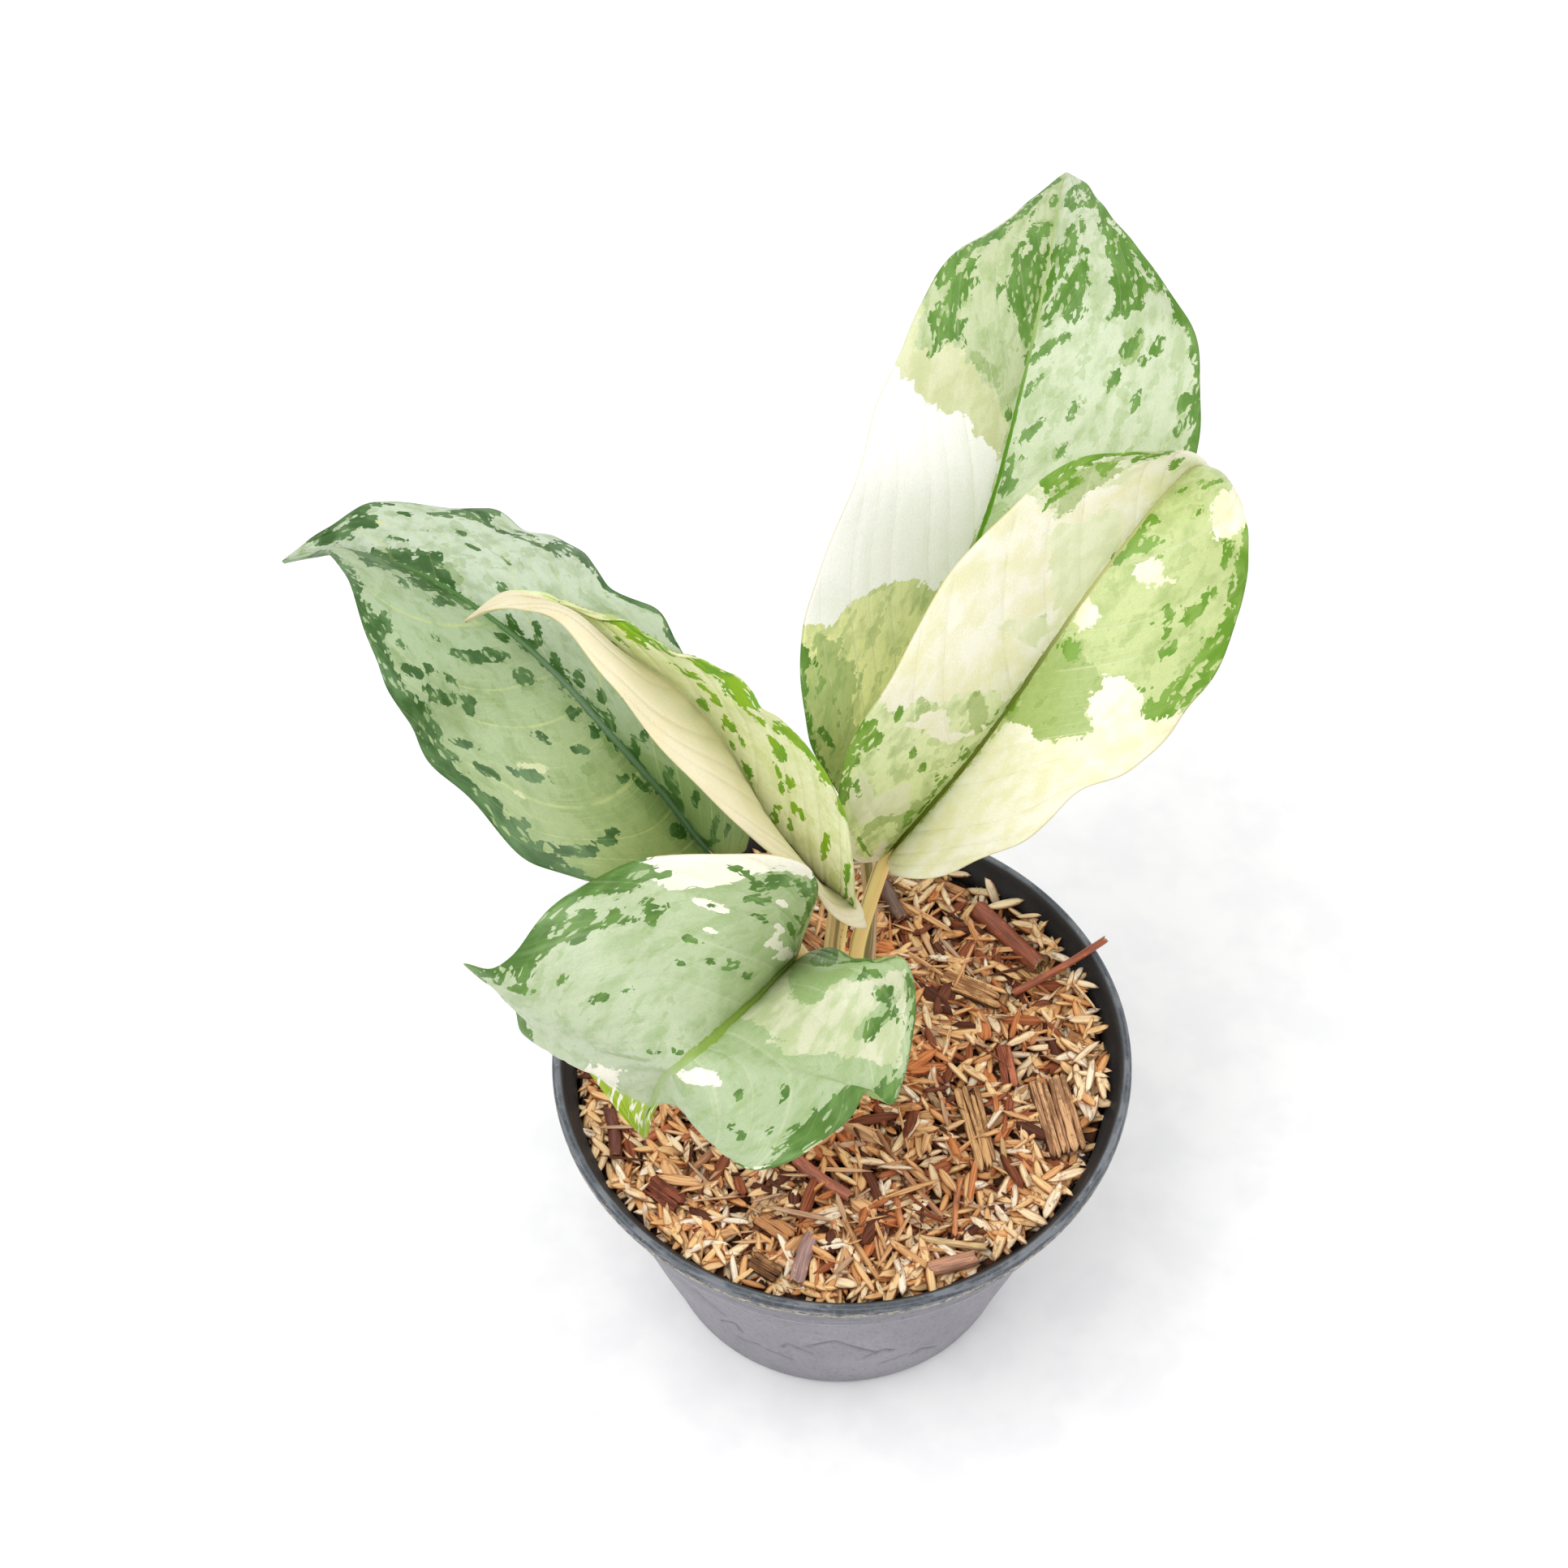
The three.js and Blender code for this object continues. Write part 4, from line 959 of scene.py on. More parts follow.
def blade_mesh(stations, arch, flows, veins, ruffles, seed):
    """Points, faces and marks of one blade, with its midrib, veins, ruffles and thin margin."""
    shares = np.linspace(0, 1, BLADE_ROWS + 1)
    rib, left, right = blade_rails(stations, shares)
    across = np.linspace(-1, 1, 2 * BLADE_HALF_COLUMNS + 1)
    upper = unit(np.cross(right - left, np.gradient(rib, axis=0)))
    side = np.abs(across)[None, :, None]
    margin = np.where(across[None, :, None] < 0, left[:, None], right[:, None])
    span = np.linalg.norm(margin - rib[:, None], axis=2)
    bulge = np.where(across < 0, *arch)[None, :] * span * 4 * (side * (1 - side))[..., 0]
    middle = rib[:, None] + (margin - rib[:, None]) * side + upper[:, None] * bulge[..., None]
    for half, level, reach, push in ruffles:
        near = np.exp(-((shares * 100 - level) / reach) ** 2)[:, None]
        middle += (near * np.clip(across * half, 0, 1) ** 2.5)[..., None] * np.array(push)
    normal = unit(np.cross(np.gradient(middle, axis=1), np.gradient(middle, axis=0)))
    length = float(np.linalg.norm(np.diff(rib, axis=0), axis=1).sum())
    width = float(span.mean())
    along, over = np.meshgrid(shares, across, indexing="ij")

    def flow(value):
        """How far a side vein has run towards the tip at a share of the half width."""
        straight, curved = (np.where(value < 0, *pair) for pair in zip(*flows))
        return straight * np.abs(value) + curved * np.abs(value) ** 3

    drift = along - flow(over)
    from_rib = span * np.abs(over)
    phase = drift * veins + 0.22 * np.sin(drift * 29 + seed) + np.where(over < 0, 0.35, 0.0)
    vein_gap = np.abs(phase % 1 - 0.5) * length / veins
    fade = np.clip(from_rib / 4, 0, 1) * np.clip((1 - np.abs(over)) / 0.12, 0, 1)
    taper = 1 - 0.75 * along
    wave = np.sin(along * 47 + np.where(over < 0, seed, seed * 2.3))
    wave += 0.6 * np.sin(along * 81 + seed)
    lift = hump(from_rib, *RIB_CREST, taper) - hump(from_rib, *RIB_DENT, taper)
    lift -= hump(vein_gap, *VEIN_DENT) * fade
    lift += np.abs(over) ** 6 * MARGIN_WAVE * wave * np.clip((1 - along) / 0.15, 0, 1)
    thick = BLADE_THICK * (0.5 + 0.5 * np.clip((1 - np.abs(over)) / 0.05, 0, 1)) / 2
    keel_high, keel_wide = RIB_KEEL
    keel = np.clip(1 - (from_rib / (keel_wide * taper + 0.3)) ** 2, 0, 1)
    keel = keel_high * taper * np.sqrt(keel) + hump(vein_gap, *VEIN_KEEL) * fade
    top = middle + normal * (lift + thick)[..., None]
    bottom = middle + normal * (lift - thick - keel)[..., None]

    rows, columns = over.shape
    lower = rows * columns
    corner = np.arange(lower).reshape(rows, columns)
    low, high = corner[:-1], corner[1:]
    quads = (low[:, :-1], low[:, 1:], high[:, 1:], high[:, :-1])
    upper_faces = np.stack([quad.ravel() for quad in quads], 1)
    border = np.concatenate([corner[:, 0], corner[-1, 1:], corner[-2::-1, -1], corner[0, -2:0:-1]])
    rim = np.stack([border, np.roll(border, -1)], 1)
    rim_faces = np.hstack([rim, rim[:, ::-1] + lower])
    faces = np.vstack([upper_faces, upper_faces[:, ::-1] + lower, rim_faces]).tolist()
    points = np.vstack([top.reshape(-1, 3), bottom.reshape(-1, 3)])
    own = np.full(over.shape, seed * 10.0)
    marks = {"along": along, "side": over, "phase": phase, "from_rib": from_rib / taper,
             "edge": span * (1 - np.abs(over)),
             "grain": np.stack([drift * length, span * over, own], axis=2),
             "weave": np.stack([along * length, span * over, own], axis=2)}
    marks = {key: np.concatenate([v.reshape(lower, -1)] * 2).squeeze() for key, v in marks.items()}
    marks["under"] = np.repeat([0.0, 1.0], lower)
    return points, faces, marks, (over.ravel(), along.ravel(), flow, width, length)


def blade_finish(name, tones, vein_step, jag, flecks, rib_width, veined):
    """Waxy leaf skin: a pale ground, ragged patches of sage, cream and dark green built of
    small angular cells, fine pale veins, and a paler, duller underside."""
    skin = Finish(name, roughness=0.4, specular=0.45)
    weave, along, edge = skin.mark("weave", "Vector"), skin.mark("along"), skin.mark("edge")

    def cloud(across, lengthwise, detail, shift=0.0, rough=0.55):
        return skin.cloud(weave, (across, lengthwise, 1.0), detail, rough, shift)

    def patch(mark, push=1.0):
        reach = skin.sum(skin.mark(mark), skin.times(wobble, push))
        return skin.rise(reach, -0.1, 0.1)

    def coat(share, under, tone):
        return skin.blend(share, under, tones[tone] if isinstance(tone, str) else tone)

    def mixed(share, tone):
        return skin.blend(share, *tones[tone])

    # how ragged the edge of a patch is: steps of cells and larger blocks, and soft breaks
    steps = skin.cells(weave, (1.3, 1.0, 1.0))
    blocks = skin.cells(weave, (2.8, 2.0, 1.0), shift=11.0)
    wobble = skin.sum(steps, skin.times(blocks, 1.5))
    wobble = skin.sum(wobble, skin.times(cloud(4.6, 3.4, 1.5), 4.5))
    wobble = skin.times(skin.work("SUBTRACT", wobble, 3.5), jag)

    # the ground of each half with islands of sage, and the sage patches with islands of ground
    height = skin.rise(along, 0.1, 0.6)
    halves = mixed(height, "left"), mixed(height, "right")
    colour = skin.blend(skin.rise(skin.mark("side"), -0.03, 0.03), *halves)
    mottle = cloud(8.0, 5.0, 4, shift=3.0)
    colour = coat(skin.rise(mottle, 0.45, 0.66, 0.45), colour, "sage")
    islands = skin.sum(cloud(5.5, 4.0, 2, shift=17.0), skin.times(steps, 0.07))
    colour = coat(skin.rise(islands, 0.62, 0.63, 0.36), colour, "sage")
    sage = skin.blend(skin.rise(islands, 0.40, 0.41, 0.35), tones["sage"], colour)
    colour = coat(patch("sage"), colour, sage)

    # pale side veins, and the margin
    gap = skin.work("SUBTRACT", skin.work("FRACT", skin.mark("phase")), 0.5)
    gap = skin.times(skin.work("ABSOLUTE", gap), vein_step)
    strand = skin.cloud(skin.mark("grain", "Vector"), (0.6, 14.0, 1.0), detail=2, shift=37.0)
    fading = skin.rise(mottle, 0.7, 0.42)
    vein = skin.times(skin.rise(gap, 0.6, 0.1, veined), fading)
    vein = skin.work("MAXIMUM", vein, skin.rise(strand, 0.54, 0.72, 0.3))
    colour = coat(vein, colour, "vein")
    colour = coat(skin.rise(edge, 0.6, 0.2, 0.5), colour, "rim")
    clouding = cloud(1.8, 1.3, 3, shift=57.0)
    colour = skin.shade(skin.rise(clouding, 0.42, 0.62, 0.38), colour, LEAF_CLOUDING)

    # pale and cream patches
    pale = coat(skin.times(vein, 0.5), mixed(skin.rise(mottle, 0.4, 0.6), "pale"), "vein")
    colour = coat(patch("pale", push=0.7), colour, pale)
    pools = cloud(9.0, 7.0, 5, shift=43.0, rough=0.65)
    cream = mixed(skin.rise(pools, 0.36, 0.64), "cream")
    cream = skin.shade(skin.times(skin.rise(gap, 0.5, 0.1, 0.3), fading), cream, CREAM_VEIN)
    cream = skin.blend(skin.rise(edge, 0.5, 0.1, 0.5), cream, CREAM_RIM)
    colour = coat(patch("cream", push=-0.8), colour, cream)

    # dark green patches with a broken halo of sage and holes in them
    drifting = skin.times(cloud(6.0, 4.5, 2, shift=41.0), 15.0)
    halo = skin.sum(skin.sum(skin.mark("dark"), drifting), skin.times(steps, 2.5))
    colour = coat(skin.rise(halo, 10.6, 10.8, 0.6 * min(1.0, flecks + 0.2)), colour, "sage")
    depth = cloud(8.0, 5.0, 3, shift=29.0)
    dark = coat(skin.times(vein, 0.25), mixed(skin.rise(depth, 0.4, 0.62), "dark"), "vein")
    holes = skin.sum(skin.cells(weave, (1.7, 0.75, 1.0), shift=23.0), skin.times(depth, 0.5))
    rare = 1.24 - 0.14 * flecks
    dark = skin.blend(skin.rise(holes, rare, rare + 0.01, 0.9), dark, colour)
    colour = coat(patch("dark"), colour, dark)

    # the tip, the midrib, a fine bloom and the underside
    if "tip" in tones:
        start, tone = tones["tip"]
        tip = skin.rise(skin.sum(along, skin.times(wobble, 0.006)), start, start + 0.02)
        streaks = skin.rise(cloud(16.0, 1.6, 2, shift=47.0), 0.55, 0.6)
        colour = skin.blend(tip, colour, skin.blend(streaks, tone, cream))
    turn = tones["rib_turn"]
    rib_reach = skin.sum(skin.mark("from_rib"), skin.times(wobble, 0.25 * rib_width))
    on_rib = skin.rise(rib_reach, rib_width + 0.2, rib_width - 0.2)
    colour = skin.blend(on_rib, colour, mixed(skin.rise(along, turn - 0.2, turn), "rib"))
    fuzz = cloud(0.5, 0.35, 2, shift=53.0)
    colour = skin.shade(skin.rise(fuzz, 0.35, 0.7, 0.5), colour, LEAF_BLOOM)
    colour = skin.blend(skin.mark("under"), colour, coat(0.4, colour, "under"))
    skin.bump(skin.sum(strand, skin.sum(fuzz, mottle)), 0.0002, 0.4)
    return skin.done(colour, skin.between(mottle, 0.3, 0.48))


def blade(name, stations, arch, flows, ruffles, seed, tones, veins, jag=0.9, flecks=0.6,
          rib_width=1.0, veined=0.55, **patches):
    """One leaf blade in place of the plain one. Its patches of each tone are given by outlines,
    by spots and by gaps in them."""
    points, faces, marks, place = blade_mesh(stations, arch, flows, veins, ruffles, seed)
    for tone in ("dark", "sage", "pale", "cream"):
        parts = (patches.get(tone + part, ()) for part in ("", "_spots", "_gaps"))
        marks[tone] = np.tile(tone_reach(*place, *parts), 2)
    length = place[-1]
    finish = blade_finish(name + "_skin", tones, length / veins, jag, flecks, rib_width, veined)
    belongs(solid(name + "_blade", points, faces, finish, marks), "leaf_blade", name)


# Left leaf: long and low, pale grey-green with a jagged dark band round the margin, dark
# flames along the midrib and scattered dark islands. Its tip curls down.
blade(
    "leaf_a", arch=(0.1, 0.1), flows=((0.02, 0.22), (0.28, 0.15)), seed=1.3, jag=0.8, flecks=0.5,
    rib_width=1.3, veined=0.65, veins=12,
    ruffles=[
        (-1, 52, 2.5, (-0.5, 0.0, -0.3)), (-1, 45, 3, (0.9, 0.6, 0.4)),
        (-1, 36, 3, (0.9, 0.9, 0.7)), (-1, 29, 3, (-0.8, -0.7, -0.5)),
        (1, 83, 2.5, (-0.4, 0.6, 0.5)), (1, 76, 4, (0.0, -1.3, -1.0)),
        (1, 70.5, 2, (0.3, 0.5, 0.4)), (1, 65.5, 2.6, (-1.4, -1.6, -1.2)),
        (1, 57.5, 2.5, (0.6, 0.8, 0.6)), (1, 51, 2, (-0.5, -0.5, -0.4)),
        (1, 45, 2.8, (2.0, 1.6, 1.2)), (1, 36, 3, (-1.0, -0.8, -0.6)), (1, 28, 3, (0.9, 0.6, 0.6)),
    ],
    stations=[
        [[-30, 31, 134]],
        [[-36, 32, 142], [-45, 16, 146], [-24, 23, 154]],
        [[-45, 38, 154], [-61, 11, 154], [-23, 24, 171]],
        [[-57, 47, 165], [-80, 20, 155], [-29, 36, 187]],
        [[-70, 60, 172], [-103, 41, 162], [-40, 52, 195]],
        [[-84, 74, 174], [-111, 48, 180], [-56, 68, 198]],
        [[-101, 90, 172], [-119, 65, 186], [-70, 94, 185]],
        [[-116, 103, 167], [-125, 84, 183], [-90, 115, 174]],
        [[-130, 113, 160], [-133, 102, 172], [-119, 124, 168]],
        [[-140, 117, 154], [-140, 111, 160], [-136, 121, 160]],
        [[-149, 120, 148]],
    ],
    tones={
        # the right half's upper tone is blue-grey: a painted sheen of reflected light
        "left": ((152, 169, 104), (168, 186, 150)), "right": ((128, 154, 88), (194, 206, 184)),
        "sage": (128, 153, 92), "cream": ((202, 207, 162), (194, 200, 150)),
        "dark": ((48, 90, 26), (84, 120, 66)), "pale": ((186, 200, 160), (176, 192, 150)),
        "vein": (190, 202, 133), "rim": (41, 101, 51), "rib": ((92, 124, 84), (76, 120, 48)),
        "rib_turn": 0.6, "under": (140, 160, 110),
    },
    dark=[
        [(-105, 12), (-93, 22), (-90, 25), (-83, 28), (-88, 30), (-79, 31), (-87, 33), (-88, 36),
         (-86, 40), (-82, 44), (-80, 47), (-88, 50), (-88, 57), (-74, 58), (-74, 60), (-88, 62),
         (-92, 65), (-84, 66), (-82, 70), (-88, 74), (-86, 80), (-80, 88), (-105, 95)],
        [(2, 54), (-12, 56), (-30, 57), (-26, 60), (-34, 62), (-28, 64), (-12, 63), (-30, 66),
         (-45, 67), (-60, 69), (-60, 72), (-50, 74), (-40, 80), (-30, 88), (0, 90)],
        [(0, 59), (5, 60), (12, 62), (20, 65), (17, 69), (12, 68), (15, 72), (10, 75), (4, 75),
         (0, 70)],
        [(-2, 8), (30, 10), (45, 12), (20, 12), (9, 13), (4, 16), (12, 20), (5, 24), (8, 29),
         (4, 31), (9, 36), (4, 38), (8, 42), (3, 44), (7, 49), (4, 52), (-2, 53)],
        [(18, 80), (30, 81), (38, 80), (36, 77), (55, 79), (70, 81), (90, 79), (105, 84), (105, 95),
         (60, 92), (30, 90), (15, 86)],
        [(64, 73), (70, 74), (95, 72), (105, 70), (90, 69), (80, 68), (76, 66), (70, 67), (68, 70)],
        [(73, 66), (83, 66), (80, 63), (82, 60), (105, 61), (105, 40), (96, 41), (93, 48), (95, 54),
         (85, 58), (78, 57), (75, 62)],
    ],
    dark_spots=[
        (-38, 63, 4, 1.4), (-42, 50, 6, 0.9), (-27, 48, 13, 1.3), (-7, 50, 5, 1.2),
        (-17, 43, 6, 1.6), (-7, 36, 5, 0.9), (-34, 36, 4, 0.8), (-7, 33, 4, 0.9),
        (-22, 32.5, 5, 0.9), (-56, 34, 9, 0.9), (-57, 44.5, 6, 1.0), (-57, 43, 3, 1.1),
        (-48, 53, 3, 0.8), (-76, 51, 8, 1.1), (-72, 47, 6, 1.6), (-64, 50, 4, 0.9),
        (-57, 47.5, 2.5, 0.8), (-65, 45.5, 2.5, 0.9), (-75, 36.5, 4, 0.9), (-73, 40, 5, 0.8),
        (-85, 39.5, 3, 0.8), (-76, 25, 8, 1.4), (-60, 23, 6, 1.2), (-50, 23, 3, 0.8),
        (-13, 26, 3, 0.7), (-8, 23.5, 3, 1.6), (-14, 15, 7, 1.6), (-76, 55, 3, 1.0),
        (19, 21.5, 8, 1.3), (38, 20.5, 9, 1.0), (54, 17, 5, 0.8), (42, 14.5, 9, 1.2),
        (62, 14.5, 7, 1.0), (20, 36.5, 6, 0.8), (15, 29, 6, 0.8), (30, 30, 5, 0.8),
        (16, 47.5, 6, 1.0), (27, 55.5, 6, 0.9), (24, 73, 3, 1.4), (51, 67, 2.5, 1.4),
        (42, 64, 2, 1.2), (47, 59, 1.6, 0.9), (12, 83, 4, 0.9), (66, 76, 5, 0.8),
        (40, 71, 2.5, 1.0), (88, 64, 3, 1.4), (60, 86, 6, 1.0), (8, 51, 6, 1.1), (14, 47.5, 8, 0.8),
        (10, 43.5, 6, 1.1), (14, 39.5, 7, 1.0), (10, 33, 7, 1.2), (24, 24, 9, 1.1),
        (12, 19, 8, 1.8),
    ],
    dark_gaps=[
        [(-24, 58.5), (-12, 59), (-14, 60.5), (-24, 60)],
        [(-90, 68), (-86, 66), (-83, 69), (-88, 70)], [(48, 84), (66, 82), (62, 86), (50, 87)],
    ],
    sage=[
        [(-2, 0), (-60, 0), (-30, 12), (-20, 20), (-10, 30), (-2, 34)],
        [(-2, 5), (105, 5), (105, 16), (60, 22), (30, 26), (-2, 30)],
    ],
    sage_spots=[
        (-14, 14, 12, 3.0), (-25, 30, 4, 1.0), (-20, 58, 5, 1.0), (12, 62, 8, 2.4),
        (70, 86, 12, 2.5),
    ],
    cream_spots=[(-50, 34.2, 5, 0.6), (-70, 33.5, 2, 0.5), (47, 78, 5, 0.5)],
)


# Young leaf: narrow, folded and twisted over to the left. Its outer half and tip are cream,
# its inner half lime with bright green marks along the waved margin.
blade(
    "leaf_b", arch=(0.22, 0.08), flows=((0.2, 0.1), (0.32, 0.05)), seed=2.7, veins=12, jag=0.8,
    flecks=0.5,
    ruffles=[
        (1, 85, 3, (-0.3, -0.8, -0.6)), (1, 80, 3, (-1.2, -1.8, -1.3)),
        (1, 76, 2.6, (-1.6, -1.8, -1.4)), (1, 70, 2, (-0.8, -1.0, -0.8)),
        (1, 65.5, 2.5, (-1.4, -1.8, -1.4)), (1, 49.5, 2.5, (-1.6, -1.2, -0.9)),
        (1, 56, 2, (0.2, 0.4, 0.3)), (-1, 67, 5, (-0.8, -0.5, -0.4)),
        (-1, 15, 5, (-1.6, -1.8, -1.3)),
    ],
    stations=[
        [[-2, 15, 140]],
        [[-6, 16, 146], [6, 7, 141], [2, 7, 147]],
        [[-11, 15, 157], [-4, -1, 164], [2, 5, 167]],
        [[-19, 16, 172], [-13, -5, 182], [-1, 10, 187]],
        [[-25, 21, 186], [-25, -2, 195], [-7, 13, 201]],
        [[-32, 27, 197], [-35, 3, 205], [-15, 17, 212]],
        [[-41, 32, 206], [-45, 10, 213], [-24, 22, 219]],
        [[-52, 37, 211], [-55, 20, 223], [-36, 28, 223]],
        [[-64, 45, 212], [-66, 34, 226], [-51, 39, 222]],
        [[-77, 55, 208], [-78, 47, 216], [-68, 53, 215]],
        [[-86, 58, 203], [-86, 54, 207], [-82, 62, 205]],
        [[-93, 60, 196]],
    ],
    tones={
        # the right half's ground is pale lime, painted paler still: painted light against the shade
        # in the fold
        "left": ((228, 218, 180), (228, 220, 188)), "right": ((248, 250, 208), (230, 236, 192)),
        "sage": (206, 220, 140), "pale": ((222, 226, 190), (214, 222, 170)),
        "cream": ((230, 220, 188), (227, 215, 176)), "dark": ((134, 176, 18), (104, 160, 32)),
        "vein": (217, 220, 186), "rim": (180, 180, 80), "rib": ((140, 150, 60), (205, 206, 150)),
        "rib_turn": 0.45, "under": (217, 213, 171),
    },
    dark=[
        [(32, 73), (50, 74), (105, 75), (105, 67), (75, 66), (90, 63), (105, 63), (105, 50),
         (85, 49), (78, 50), (72, 46), (66, 44), (62, 46), (68, 50), (60, 53), (72, 56), (70, 60),
         (78, 64), (60, 63), (55, 66), (42, 65), (38, 67), (50, 70)],
        [(35, 60), (42, 61), (50, 59), (48, 56), (42, 52), (33, 50), (36, 54)],
        [(-2, 20), (12, 21), (6, 23), (3, 27), (-2, 25)],
        [(80, 44), (90, 46), (105, 44), (105, 24), (94, 26), (96, 32), (88, 36), (92, 40)],
    ],
    dark_spots=[
        (15, 50.5, 9, 1.5), (22, 45.5, 7, 1.6), (25, 42.5, 4, 1.2), (8, 41.5, 3, 0.9),
        (9, 37, 5, 1.3), (3, 34.5, 3, 1.0), (15, 29, 9, 1.0), (23, 26.5, 4, 1.2),
        (38, 29.5, 4, 1.4), (42, 28, 3, 0.9), (37, 33.5, 3, 0.9), (48, 34, 6, 1.2),
        (44, 36.5, 4, 1.0), (56, 39, 5, 1.5), (64, 41, 6, 2.2), (48, 21.5, 7, 1.0),
        (60, 23, 5, 1.0), (84, 18, 9, 1.6), (70, 13, 7, 1.6), (20, 67, 4, 1.2), (7, 67, 3, 1.0),
        (88, 12, 8, 1.6),
    ],
    sage=[[(30, 66), (105, 78), (105, 86), (60, 82), (20, 76)]],
    sage_spots=[(50, 15, 14, 3)],
    cream=[
        [(-105, 0), (-3, 0), (-6, 30), (-4, 60), (-2, 74), (30, 80), (105, 92), (105, 101),
         (-105, 101)],
    ],
)


